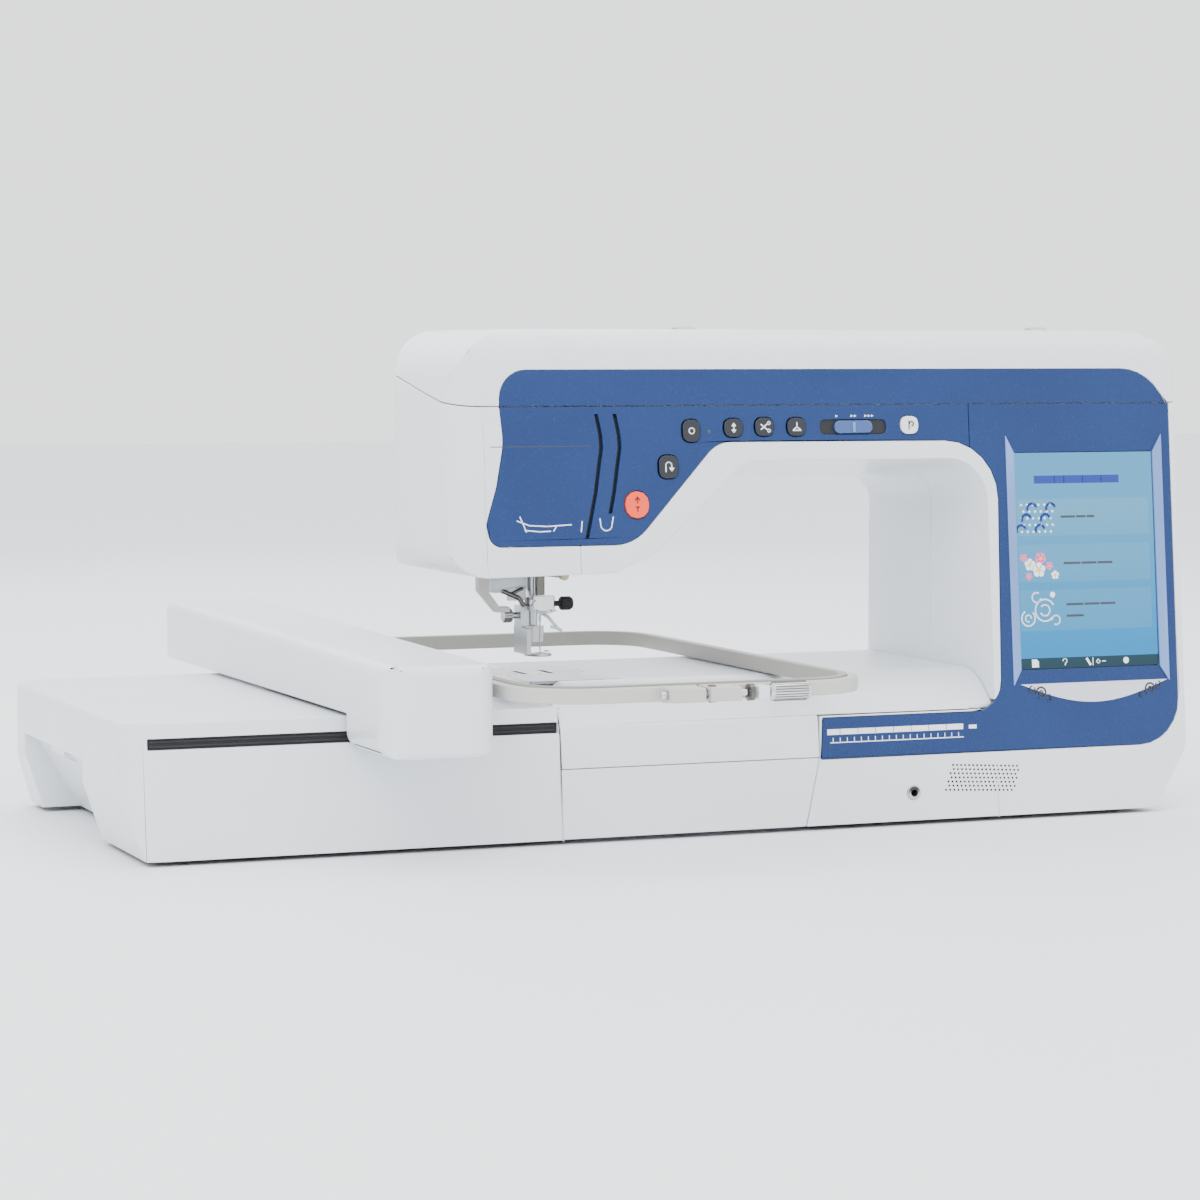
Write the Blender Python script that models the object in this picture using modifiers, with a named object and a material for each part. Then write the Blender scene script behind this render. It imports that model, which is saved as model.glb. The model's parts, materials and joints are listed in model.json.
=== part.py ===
"""Computerised sewing and embroidery machine with its embroidery unit, carriage and hoop.

Sizes are millimetres, measured from the needle (X), the front foot line (Y) and the table (Z),
and are turned into metres about the middle of the whole machine's footprint.
"""

import math

import bmesh
import bpy
from mathutils import Matrix, Vector
from mathutils.geometry import convex_hull_2d

# Whole machine
MM = 0.001
CENTRE_X = 72.5
CENTRE_Y = 158.5
GAP = 0.3  # running gap between neighbouring pieces
WALL = 3.0  # moulded shell thickness
LEAN = math.tan(math.radians(5.3))  # the front faces lean back as they rise
SHELL_BOTTOM = 3.0
ARC_STEPS = 8  # facets in a quarter turn of an outer edge
HIDDEN_STEPS = 3  # and of a cavity's edge
STEP_BACK = 0.05  # keeps joined faces from lying in one plane

# Machine body: head, arm and column
BODY_LEFT = -88.0
BODY_RIGHT = 428.0
BODY_BACK = 195.0
BODY_TOP = 319.0
HEAD_BOTTOM = 165.0
COLUMN_LEFT = 282.0
FACE_SPLIT = -4.5  # the left face cover ends at the threading channel
BACK_SPLIT = 100.0  # the front and rear covers meet here
SEAM_Z = 271.0  # lid seam at the front
SEAM_FRONT_Y = 25.0
SEAM_SLOPE = 0.16  # the seam climbs towards the back
DECK_Y = 150.4  # the fixed rear deck behind the lid
LID_ROUND = 24.0
HEAD_ROUND = 78.0  # the head's rear left corner, seen from above
HANDLE_X = (137.0, 408.0)

# Bed and base
BED_TOP = 97.0
BED_LEFT = -22.0
BED_EDGE_Y = 50.0
STRIP_TOP = 71.3  # top edge of the ruler strip on the base
FREE_ARM_Y = 40.0
WING_TOP = 46.2
JOINT_X = 154.8  # machine base and embroidery unit meet here at the front

# Sewing axis and drive shafts
NEEDLE_Y = 100.0
PRESSER_Y = 114.0
HOOK_Y = 78.0
UPPER_Y, UPPER_Z = 134.0, 246.0
LOWER_Z = 42.0
BELT_X = 390.0
BELT_WIDTH = 9.0
PULLEY_RADIUS = 13.0
MOTOR_Y, MOTOR_Z = 62.0, 150.0
MOTOR_PULLEY_RADIUS = 6.5

# Embroidery unit, carriage and hoop
UNIT_LEFT = -299.0
UNIT_RIGHT = -22.4
UNIT_TOP = 85.0
UNIT_BACK = 312.0
RAIL_Y, RAIL_Z = 40.0, 60.0
CARRIAGE_LEFT, CARRIAGE_RIGHT = -162.0, -90.0
CARRIAGE_FRONT, CARRIAGE_BACK = -72.0, 435.0
CARRIAGE_BOTTOM, CARRIAGE_TOP = 87.0, 121.0
CARRIAGE_DROP = 65.5  # the front cap hangs down to here
CARRIAGE_RISE = 7.0  # the arm's top climbs this much towards the back
ARM_RAIL_Z = 105.0
HOOP_LEFT, HOOP_RIGHT = -84.0, 146.0
HOOP_FRONT, HOOP_BACK = -104.0, 296.0
HOOP_BOTTOM, HOOP_TOP = 98.0, 107.0
HOOP_CORNER = 46.0
HOOP_SPLIT_X = 24.0

# Control panel buttons: centre X, centre Z, width, height
BUTTONS = {
    "start_stop_button": (34.5, 209.2, 16.0, 17.0),
    "reverse_button": (56.5, 232.6, 13.0, 14.5),
    "reinforcement_button": (73.0, 255.1, 12.0, 14.0),
    "needle_position_button": (102.1, 256.7, 13.0, 11.5),
    "thread_cutter_button": (123.6, 257.2, 13.0, 11.5),
    "presser_foot_button": (146.1, 257.0, 13.0, 11.5),
    "threading_button": (226.6, 257.6, 12.5, 11.5),
}
THREAD_CHANNEL = ((9.0, 266), (11.4, 253), (11.8, 245), (9.5, 232), (7.0, 217), (4.0, 204), (0.4, 189))
CHANNEL_STEP = 12.4  # from the first channel to the second, which ends sooner
SLIDER_SLOT = (163.0, 210.0, 252.0, 261.4)
SLIDER_KNOB = (173.0, 200.0)
SCREEN = (302.0, 406.0, 97.0, 239.0)

FINISHES = {
    "white": ((0.82, 0.85, 0.87), 0.0, 0.35),
    "blue": ((0.075, 0.13, 0.32), 0.45, 0.3),
    "grey": ((0.55, 0.54, 0.52), 0.0, 0.4),
    "dark": ((0.03, 0.035, 0.05), 0.0, 0.45),
    "orange": ((0.9, 0.2, 0.09), 0.0, 0.35),
    "clear_blue": ((0.1, 0.22, 0.42), 0.0, 0.15),
    "screen": ((0.1, 0.5, 0.9), 0.0, 0.1),
    "steel": ((0.62, 0.62, 0.63), 1.0, 0.25),
    "castings": ((0.5, 0.51, 0.52), 0.9, 0.5),
    "rubber": ((0.02, 0.02, 0.02), 0.0, 0.8),
    "board": ((0.03, 0.2, 0.09), 0.0, 0.5),
    "clear": ((0.8, 0.85, 0.88), 0.0, 0.1),
}


# ---------------------------------------------------------------- outlines
def rounded(corners, steps=4):
    """The outline through corners given as (u, v, radius), each corner turned into an arc."""
    outline = []
    for index, (u, v, radius) in enumerate(corners):
        here = Vector((u, v))
        if not radius:
            outline.append(here)
            continue
        before = (Vector(corners[index - 1][:2]) - here).normalized()
        after = (Vector(corners[(index + 1) % len(corners)][:2]) - here).normalized()
        half = before.angle(after) / 2
        centre = here + (before + after).normalized() * radius / math.sin(half)
        spoke = here + before * radius / math.tan(half) - centre
        end = here + after * radius / math.tan(half) - centre
        sweep = math.atan2(spoke.cross(end), spoke.dot(end))
        for step in range(steps + 1):
            outline.append(centre + Matrix.Rotation(sweep * step / steps, 2) @ spoke)
    return outline


def rectangle(left, right, low, high, radius=0.0, steps=4):
    corners = ((left, low), (right, low), (right, high), (left, high))
    return rounded([(u, v, radius) for u, v in corners], steps)


def arc_steps(inset):
    return HIDDEN_STEPS if inset else ARC_STEPS


def disc(u, v, radius, sides=16):
    turns = [2 * math.pi * side / sides for side in range(sides)]
    return [Vector((u + radius * math.cos(turn), v + radius * math.sin(turn))) for turn in turns]


def offset(outline, distance):
    """An anticlockwise outline moved outwards by a distance, or inwards if it is negative."""
    moved = []
    for index, here in enumerate(outline):
        along = (here - outline[index - 1]).normalized()
        onward = (outline[(index + 1) % len(outline)] - here).normalized()
        first = Vector((along.y, -along.x))
        middle = (first + Vector((onward.y, -onward.x))).normalized()
        moved.append(here + middle * distance / max(middle.dot(first), 0.3))
    return moved


# ---------------------------------------------------------------- solids
def bake(body):
    """The object as its modifiers leave it, welded into one closed mesh."""
    if body.name not in bpy.context.scene.collection.objects:
        bpy.context.scene.collection.objects.link(body)
    depsgraph = bpy.context.evaluated_depsgraph_get()
    mesh = bpy.data.meshes.new_from_object(body.evaluated_get(depsgraph))
    mesh.transform(body.matrix_world)
    shape = bmesh.new()
    shape.from_mesh(mesh)
    bmesh.ops.remove_doubles(shape, verts=shape.verts, dist=1e-6)
    bmesh.ops.recalc_face_normals(shape, faces=shape.faces)
    shape.to_mesh(mesh)
    shape.free()
    bpy.data.objects.remove(body)
    solid = bpy.data.objects.new("solid", mesh)
    bpy.context.scene.collection.objects.link(solid)
    return solid


def solid_from(shape):
    """An object from a bmesh drawn in millimetres."""
    mesh = bpy.data.meshes.new("solid")
    shape.to_mesh(mesh)
    shape.free()
    mesh.transform(Matrix.Scale(MM, 4) @ Matrix.Translation((-CENTRE_X, -CENTRE_Y, 0)))
    solid = bpy.data.objects.new("solid", mesh)
    bpy.context.scene.collection.objects.link(solid)
    return solid


AXIS_FRAMES = {
    "X": Matrix(((0, 0, 1), (1, 0, 0), (0, 1, 0))),
    "Y": Matrix(((1, 0, 0), (0, 0, -1), (0, 1, 0))),
    "Z": Matrix.Identity(3),
}


def extrude(outline, low, high, axis, holes=()):
    """A flat outline, with holes, drawn out along an axis from low to high."""
    curve = bpy.data.curves.new("outline", "CURVE")
    curve.dimensions = "2D"
    curve.fill_mode = "BOTH"
    curve.extrude = (high - low) / 2 * MM
    for ring in (outline, *holes):
        spline = curve.splines.new("POLY")
        spline.points.add(len(ring) - 1)
        for point, (u, v) in zip(spline.points, ring):
            point.co = (u * MM, v * MM, 0, 1)
        spline.use_cyclic_u = True
    body = bpy.data.objects.new("outline", curve)
    along = {"X": 0, "Y": 1, "Z": 2}[axis]
    place = Vector((-CENTRE_X, -CENTRE_Y, 0))
    place[along] += (low + high) / 2
    body.matrix_world = Matrix.Translation(place * MM) @ AXIS_FRAMES[axis].to_4x4()
    return bake(body)


def box(left, right, front, back, low, high):
    shape = bmesh.new()
    size = Vector((right - left, back - front, high - low))
    middle = Vector((right + left, back + front, high + low)) / 2
    place = Matrix.Translation(middle) @ Matrix.Diagonal((*size, 1))
    bmesh.ops.create_cube(shape, size=1, matrix=place)
    return solid_from(shape)


def rod(start, end, radius, tip_radius=None, sides=16):
    """A round bar from start to end, tapered if it has a tip radius."""
    shape = bmesh.new()
    start, end = Vector(start), Vector(end)
    run = end - start
    place = Matrix.Translation((start + end) / 2) @ run.to_track_quat("Z", "Y").to_matrix().to_4x4()
    tip = radius if tip_radius is None else tip_radius
    bmesh.ops.create_cone(
        shape, cap_ends=True, segments=sides, radius1=radius, radius2=tip, depth=run.length, matrix=place
    )
    return solid_from(shape)


def turned(profile, place, sides=24):
    """A profile of (radius, height) points, top to bottom at +X, spun about Z and then placed."""
    mesh = bpy.data.meshes.new("profile")
    points = [(radius * MM, 0, height * MM) for radius, height in profile]
    mesh.from_pydata(points, [(index, index + 1) for index in range(len(points) - 1)], [])
    body = bpy.data.objects.new("profile", mesh)
    screw = body.modifiers.new("turn", "SCREW")
    screw.angle = 2 * math.pi
    screw.steps = sides
    screw.render_steps = sides
    screw.use_merge_vertices = True
    screw.merge_threshold = 0.00001
    shift = Matrix.Translation(Vector((-CENTRE_X, -CENTRE_Y, 0)) * MM)
    body.matrix_world = shift @ Matrix.Translation(place.translation * MM) @ place.to_3x3().to_4x4()
    return bake(body)


def placed(x, y, z, axis="Z"):
    """A frame at a point whose Z runs along the named axis."""
    turn = {"X": Matrix.Rotation(math.pi / 2, 4, "Y"), "Y": Matrix.Rotation(-math.pi / 2, 4, "X")}
    return Matrix.Translation((x, y, z)) @ turn.get(axis, Matrix.Identity(4))


def loft(front_outline, back_outline, front, back):
    """A solid between two outlines of as many points, one at the front and one at the back."""
    shape = bmesh.new()
    near = [shape.verts.new((u, front, v)) for u, v in front_outline]
    far = [shape.verts.new((u, back, v)) for u, v in back_outline]
    shape.faces.new(near)
    shape.faces.new(reversed(far))
    for index in range(len(near)):
        shape.faces.new((near[index - 1], far[index - 1], far[index], near[index]))
    bmesh.ops.recalc_face_normals(shape, faces=shape.faces)
    return solid_from(shape)


def combine(operation, body, others):
    for other in others:
        modifier = body.modifiers.new(operation.lower(), "BOOLEAN")
        modifier.operation = operation
        modifier.solver = "EXACT"
        modifier.object = other
    result = bake(body)
    for other in others:
        bpy.data.objects.remove(other)
    return result


def join(body, *others):
    return combine("UNION", body, others)


def cut(body, *others):
    return combine("DIFFERENCE", body, others)


def common(body, *others):
    return combine("INTERSECT", body, others)


def lean(body):
    """Shear a body back so that a face drawn upright lies on the leaning front."""
    for vertex in body.data.vertices:
        vertex.co.y += LEAN * vertex.co.z
    return body


def panel(outline, front, back, holes=()):
    """A plate on the leaning front, front and back measured inwards from the face."""
    return lean(extrude(outline, front, back, "Y", holes))


# ---------------------------------------------------------------- assembly
def add_body(name, pivot=(CENTRE_X, CENTRE_Y, 0.0), parent=None):
    """An empty on the body's joint axis, which its pieces hang from."""
    empty = bpy.data.objects.new(name, None)
    bpy.context.scene.collection.objects.link(empty)
    world = (Vector(pivot) - Vector((CENTRE_X, CENTRE_Y, 0))) * MM
    empty["pivot"] = world
    empty.location = world - Vector(parent["pivot"]) if parent else world
    empty.parent = parent
    return empty


def add_piece(name, solid, finish, body):
    """Name a finished solid, give it its material and hang it from its body."""
    collection = bpy.data.collections["embroidery_machine"]
    solid.data.transform(Matrix.Translation(-Vector(body["pivot"])))
    solid.name = name
    solid.data.name = name
    for owner in list(solid.users_collection):
        owner.objects.unlink(solid)
    collection.objects.link(solid)
    solid.parent = body
    colour, metallic, roughness = FINISHES[finish]
    material = bpy.data.materials.new(name)
    material.use_nodes = True
    shader = material.node_tree.nodes["Principled BSDF"]
    shader.inputs["Base Color"].default_value = (*colour, 1)
    shader.inputs["Metallic"].default_value = metallic
    shader.inputs["Roughness"].default_value = roughness
    solid.data.materials.clear()
    solid.data.materials.append(material)
    solid.data.shade_smooth()
    solid.data.set_sharp_from_angle(angle=math.radians(35))
    return solid


# ---------------------------------------------------------------- machine shells
def c_outline(at_back, inset=0.0):
    """Head, arm and column seen from the front; the throat narrows towards the back."""
    arm_z = 217.5 if at_back else 240.0
    elbow_x = 150.0 if at_back else 100.0
    corner = 16.0 if at_back else 30.0
    corners = [
        (BODY_LEFT, HEAD_BOTTOM, 22.0),
        (22.0, HEAD_BOTTOM + 2.0, 12.0),
        (elbow_x, arm_z, 20.0),
        (COLUMN_LEFT, arm_z, corner),
        (COLUMN_LEFT, SHELL_BOTTOM, 0.0),
        (400.0, SHELL_BOTTOM, 12.0),
        (BODY_RIGHT, 48.0, 24.0),
        (BODY_RIGHT, BODY_TOP, 34.0),
        (BODY_LEFT, BODY_TOP, 48.0),
    ]
    outline = offset(rounded(corners, arc_steps(inset)), -inset)
    if inset:
        outline = [Vector((u, -10.0 if v < SHELL_BOTTOM + 2 * inset else v)) for u, v in outline]
    return outline


def plan_outline(inset=0.0):
    """The body seen from above, with a round left end and tighter right corners."""
    corners = [
        (BODY_LEFT, -20.0, 0.0),
        (BODY_RIGHT, -20.0, 0.0),
        (BODY_RIGHT, BODY_BACK, 14.0),
        (BODY_LEFT, BODY_BACK, HEAD_ROUND),
    ]
    return offset(rounded(corners, 2 * arc_steps(inset)), -inset)


def front_corner(radius, x, side):
    """A cutter that rounds an upright front corner, following the lean."""
    arc_x = x - side * radius
    turns = [math.pi / 2 * step / ARC_STEPS for step in range(ARC_STEPS + 1)]
    arc = [Vector((arc_x + side * radius * math.sin(t), radius - radius * math.cos(t))) for t in turns]
    outline = arc + [Vector((x + side * 8, radius)), Vector((x + side * 8, -30)), Vector((arc_x, -30))]
    if side > 0:
        outline.reverse()
    return lean(extrude(outline, -20, 360, "Z"))


def seam_z(y):
    return SEAM_Z + SEAM_SLOPE * (y - SEAM_FRONT_Y)


def body_profile(inset=0.0):
    """Side view of the fixed body: a leaning front, the open top and the rear deck."""
    if not inset:
        corners = [
            (LEAN * SHELL_BOTTOM, SHELL_BOTTOM, 0.0),
            (BODY_BACK, SHELL_BOTTOM, 4.0),
            (BODY_BACK, BODY_TOP, 12.0),
            (DECK_Y, BODY_TOP, 1.5),
            (DECK_Y, seam_z(DECK_Y) - GAP, 0.0),
            (LEAN * (SEAM_Z - GAP), SEAM_Z - GAP, 0.0),
        ]
        return rounded(corners)
    back = BODY_BACK - inset
    deck = DECK_Y + inset
    shelf = 266.0
    points = [
        (inset - LEAN * 10, -10),
        (back, -10),
        (back, BODY_TOP - inset),
        (deck, BODY_TOP - inset),
        (deck, shelf),
        (DECK_Y - 1, shelf),
        (DECK_Y - 1, 340),
        (inset + LEAN * 340, 340),
    ]
    return [Vector(point) for point in points]


def lid_profile(inset=0.0):
    """Side view of the lid: leaning front, round front edge, flat top, sloping seam."""
    back = DECK_Y - GAP - inset
    top = BODY_TOP - inset
    front = LEAN * SEAM_Z + inset
    low = -20.0 if inset else GAP
    corners = [
        (front + LEAN * low, SEAM_Z + low, 0.0),
        (back, seam_z(DECK_Y) + low, 0.0),
        (back, top, 2.0),
        (front + LEAN * (top - SEAM_Z), top, LID_ROUND - inset),
    ]
    return rounded(corners, arc_steps(inset))


def body_solid(profile, inset=0.0):
    """The body's volume, shrunk by an inset, between the given side profile and its outlines."""
    solid = loft(c_outline(False, inset), c_outline(True, inset), -20, 200)
    side = extrude(profile, BODY_LEFT - 10, BODY_RIGHT + 10, "X")
    plan = extrude(plan_outline(inset), -30, 360, "Z")
    solid = common(solid, side, plan)
    left = front_corner(22.0, BODY_LEFT + inset, -1)
    right = front_corner(8.0, BODY_RIGHT - inset, 1)
    return cut(solid, left, right)


def base_profile(inset=0.0):
    """Side view of the base's front wall below the ruler strip."""
    low = -12.0 if inset else SHELL_BOTTOM + 0.1
    high = STRIP_TOP + 1.4 - inset
    back = 30.0 if inset else 14.0
    front = inset + STEP_BACK
    points = [(front + LEAN * low, low), (back, low), (back, high), (front + LEAN * high, high)]
    return [Vector(point) for point in points]


def base_solid(inset=0.0):
    right = COLUMN_LEFT - 0.5 if inset else 290.0
    outline = [
        (144.0 + inset, SHELL_BOTTOM - 20 * bool(inset)),
        (right, SHELL_BOTTOM - 20 * bool(inset)),
        (right, 90.0),
        (JOINT_X + 1.4 + inset, 90.0),
        (JOINT_X + inset, WING_TOP),
        (144.6 + inset, SHELL_BOTTOM + 2),
    ]
    front = extrude([Vector(point) for point in outline], -20, 60, "Y")
    return common(front, extrude(base_profile(inset), 100, 300 + 40 * bool(inset), "X"))


def bed_profile(inset=0.0):
    """Side view of the bed: an overhanging rounded front edge above the unit's wing."""
    lip = WING_TOP + 0.4
    low = -10.0 if inset else SHELL_BOTTOM
    corners = [
        (FREE_ARM_Y, low, 0.0),
        (BODY_BACK, low, 0.0),
        (BODY_BACK, BED_TOP, 8.0),
        (BED_EDGE_Y - 16, BED_TOP, 42.0),
        (LEAN * 72, 72.0, 6.0),
        (LEAN * lip, lip, 0.0),
        (FREE_ARM_Y, lip, 0.0),
    ]
    return offset(rounded(corners, arc_steps(inset)), -inset)


def bed_solid(inset=0.0):
    low = -20.0 if inset else SHELL_BOTTOM
    right = COLUMN_LEFT - 0.4 + 10 * bool(inset)
    corners = [
        (BED_LEFT + inset, low, 0.0),
        (right, low, 0.0),
        (right, BED_TOP - inset, 0.0),
        (-6.0 + inset, BED_TOP - inset, 4.0),
        (BED_LEFT + inset, UNIT_TOP + 1 - inset, 0.0),
    ]
    block = extrude(bed_profile(inset), BED_LEFT - 5, 290, "X")
    return common(block, extrude(rounded(corners), -5, 205, "Y"))


def blue_outline():
    """The front fascia, from the head round the throat and down the column."""
    corners = [
        (-55.0, SEAM_Z - GAP, 0.0),
        (-53.0, 248.0, 40.0),
        (-58.5, 221.0, 40.0),
        (-66.0, 198.0, 14.0),
        (-63.0, 184.5, 9.0),
        (32.0, 184.5, 30.0),
        (91.0, 248.2, 22.0),
        (291.0, 247.4, 38.0),
        (287.0, STRIP_TOP, 20.0),
        (157.8, STRIP_TOP, 1.0),
        (156.0, 45.2, 1.0),
        (419.5, 45.2, 30.0),
        (420.0, SEAM_Z - GAP, 0.0),
    ]
    return rounded(corners, 6)


def head_opening():
    return box(-48, 30, 84, 126, 150, 180)


def machine_shells(machine):
    cavity = body_solid(body_profile(WALL), WALL)
    outer = join(body_solid(body_profile()), base_solid())
    fascia_hole = panel(offset(blue_outline(), GAP), -40, 8)
    shell = cut(outer, cavity, base_solid(WALL - 4 * STEP_BACK), fascia_hole, head_opening())

    def half(left, right, front, back):
        copy = bpy.data.objects.new("half", shell.data.copy())
        bpy.context.scene.collection.objects.link(copy)
        return common(copy, box(left, right, front, back, -20, 340))

    face = half(-120, FACE_SPLIT, -60, 230)
    front = half(FACE_SPLIT + GAP, 470, -60, BACK_SPLIT)
    rear = half(FACE_SPLIT + GAP, 470, BACK_SPLIT + GAP, 230)
    bpy.data.objects.remove(shell)

    add_piece("face_cover", face, "white", machine)
    jack_hole = rod((220.7, -5, 21), (220.7, 9, 21), 4.6)
    front = cut(front, box(275, 290, 62, 122, 20, 66), box(275, 290, 5, 122, -5, 7.2), jack_hole)
    add_piece("front_cover", front, "white", machine)
    notches = [box(x - 8.5, x + 8.5, 158, 210, 290, 330) for x in HANDLE_X]
    inlet_hole = box(420, 440, 120, 148, 64, 86)
    switch_hole = box(420, 440, 124, 144, 96, 124)
    lever_slot = box(3.5, 16.5, 188, 200, 168.5, 206)
    frame_way = box(275, 290, 90, 148, 12, 66)
    pan_way = box(275, 290, 90, 191.5, -5, 7.2)
    shaft_way = rod((420, UPPER_Y, UPPER_Z), (440, UPPER_Y, UPPER_Z), 7.5)
    rear = cut(rear, frame_way, pan_way, shaft_way, *notches, inlet_hole, switch_hole, lever_slot)
    add_piece("rear_cover", rear, "white", machine)

    bed = cut(bed_solid(), bed_solid(WALL), box(JOINT_X - 0.4, 290, -20, 14.6, 20, STRIP_TOP + 1.8))
    plate_hole = box(-36.3, 36.3, 52, 150, 80, 110)
    bed = cut(bed, plate_hole, box(147, 290, 30, 50, -5, 7.2), box(264, 290, -20, 11, 60, 92))
    add_piece("bed_cover", bed, "white", machine)

    tray_corners = ((-81, 31.5, 14), (421, 31.5, 14), (421, 149.5, 14), (-81, 149.5, 54))
    tray = extrude(rounded(tray_corners), 261.6, 264.6, "Z")
    add_piece("spool_tray", tray, "white", machine)

    pan_outline = [(-18, 44), (149, 44), (149, 6), (394, 6), (394, 190), (-18, 190)]
    pan = extrude([Vector(point) for point in pan_outline], 3.6, 6.6, "Z")
    feet = [rod((x, y, 0), (x, y, 5), 9) for x, y in ((0, 62), (0, 172), (168, 24), (376, 24), (376, 172))]
    add_piece("base_pan", join(pan, *feet), "dark", machine)


def lid_pieces(lid):
    cavity = body_solid(lid_profile(WALL), WALL)
    outer = body_solid(lid_profile())
    strip = rounded([
        (-55.0, SEAM_Z - 4, 0.0),
        (420.0, SEAM_Z - 4, 0.0),
        (420.0, 293.5, 36.0),
        (-54.0, 293.5, 18.0),
    ], 8)
    pocket = panel(offset(strip, GAP), -30, 1.8)
    add_piece("lid", cut(outer, cavity, pocket), "white", lid)
    trim = common(panel(strip, 0, 1.5), box(-100, 440, -20, 60, SEAM_Z + GAP, 330))
    add_piece("lid_fascia", trim, "blue", lid)


def carry_handle(body):
    """A wide U: two arms on round bosses and a grip bar, folded down behind the machine."""
    outer = rectangle(HANDLE_X[0] - 7, HANDLE_X[1] + 7, 232, 309, 14.0)
    inner = rectangle(HANDLE_X[0] + 7, HANDLE_X[1] - 7, 246, 330, 10.0)
    loop = cut(extrude(outer, 196.5, 208.5, "Y"), extrude(inner, 190, 215, "Y"))
    bosses = [rod((x - 7, 186, 308), (x + 7, 186, 308), 14, sides=24) for x in HANDLE_X]
    bridges = [box(x - 6.5, x + 6.5, 184, 206, 300, 308) for x in HANDLE_X]
    add_piece("carry_handle", join(loop, *bosses, *bridges), "grey", body)


# ---------------------------------------------------------------- fascia, screen and controls
def button_outline(name, grow=0.0):
    x, z, width, height = BUTTONS[name]
    corner = 7.6 if name == "start_stop_button" else 4.5
    half_w, half_h = width / 2 + grow, height / 2 + grow
    return rectangle(x - half_w, x + half_w, z - half_h, z + half_h, corner + grow, 3)


def fascia(machine):
    holes = [button_outline(name, 0.4) for name in BUTTONS]
    left, right, low, high = SLIDER_SLOT
    holes.append(rectangle(left, right, low, high, 3.0, 3))
    for shift, points in ((0.0, THREAD_CHANNEL), (CHANNEL_STEP, THREAD_CHANNEL[:-1])):
        left = [Vector((x + shift - 1.2, z)) for x, z in points]
        right = [Vector((x + shift + 1.2, z)) for x, z in reversed(points)]
        holes.append(left + right)
    holes.append(rectangle(*SCREEN, 2.0, 2))
    plate = panel(blue_outline(), 0, 2.8, holes)
    right_half = bpy.data.objects.new("half", plate.data.copy())
    bpy.context.scene.collection.objects.link(right_half)
    add_piece("arm_fascia", cut(plate, box(270, 480, -50, 80, 230, 300), box(150, 480, -50, 80, 20, 232)),
              "blue", machine)
    add_piece("column_fascia", cut(right_half, box(-120, 270 + GAP, -50, 80, 160, 300)), "blue", machine)

    left, right, low, high = SCREEN
    glass = panel(rectangle(left + 0.4, right - 0.4, low + 0.4, high - 0.4, 1.6, 2), 0.5, 2.8)
    module = panel(rectangle(left - 4, right + 4, low - 4, high + 4), 3.2, 12)
    core = panel(rectangle(left + 6, right - 6, low + 6, high - 6), 2, 5)
    add_piece("touch_display", join(glass, core, module), "screen", machine)
    board_points = [(16, 199), (48, 199), (92, 251), (234, 251), (234, 261), (62, 261), (16, 222)]
    board = panel([Vector(point) for point in board_points], 8, 10)
    add_piece("control_board", board, "board", machine)


def controls(machine):
    for name, (x, z, _, _) in BUTTONS.items():
        finish = {"start_stop_button": "orange", "threading_button": "grey"}.get(name, "dark")
        body = add_body(name + "_body", (x, LEAN * z, z), machine)
        add_piece(name, panel(button_outline(name), -1.2, 5.0), finish, body)
    _, _, low, high = SLIDER_SLOT
    knob_x = sum(SLIDER_KNOB) / 2
    body = add_body("speed_slider_body", (knob_x, LEAN * 256.7, 256.7), machine)
    knob = panel(rectangle(*SLIDER_KNOB, low + 0.6, high - 0.6, 3.5, 3), -1.0, 5.0)
    add_piece("speed_slider", knob, "clear_blue", body)


# ---------------------------------------------------------------- drive
def chassis(machine):
    """The cast frame: a C seen from the front, with bearing lugs."""
    points = [
        (-72, 186), (12, 186), (12, 214), (44, 234), (296, 234), (296, 62), (-10, 62), (-10, 14),
        (384, 14), (384, 258), (-72, 258),
    ]
    frame = extrude([Vector(point) for point in points], 124, 146, "Y")
    lugs = [
        box(-11, 11, 90, 130, 190, 198),
        box(-11, 11, 90, 130, 240, 248),
        box(30, 42, 66, 130, 30, 54),
        box(300, 312, 66, 130, 30, 54),
    ]
    bores = [
        rod((-90, UPPER_Y, UPPER_Z), (400, UPPER_Y, UPPER_Z), 4.6),
        rod((20, HOOK_Y, LOWER_Z), (320, HOOK_Y, LOWER_Z), 4.4),
        rod((0, NEEDLE_Y, 180), (0, NEEDLE_Y, 256), 3.6),
        rod((0, PRESSER_Y, 180), (0, PRESSER_Y, 256), 4.0),
    ]
    add_piece("chassis", cut(join(frame, *lugs), *bores), "castings", machine)


def stepped_bar(steps, place, sides=20):
    """A shaft turned in steps, each step (radius, start, end) along the axis."""
    profile = [(0, steps[-1][2])]
    for radius, start, end in reversed(steps):
        profile += [(radius, end), (radius, start)]
    profile.append((0, steps[0][1]))
    return turned(profile, place, sides)


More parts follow.
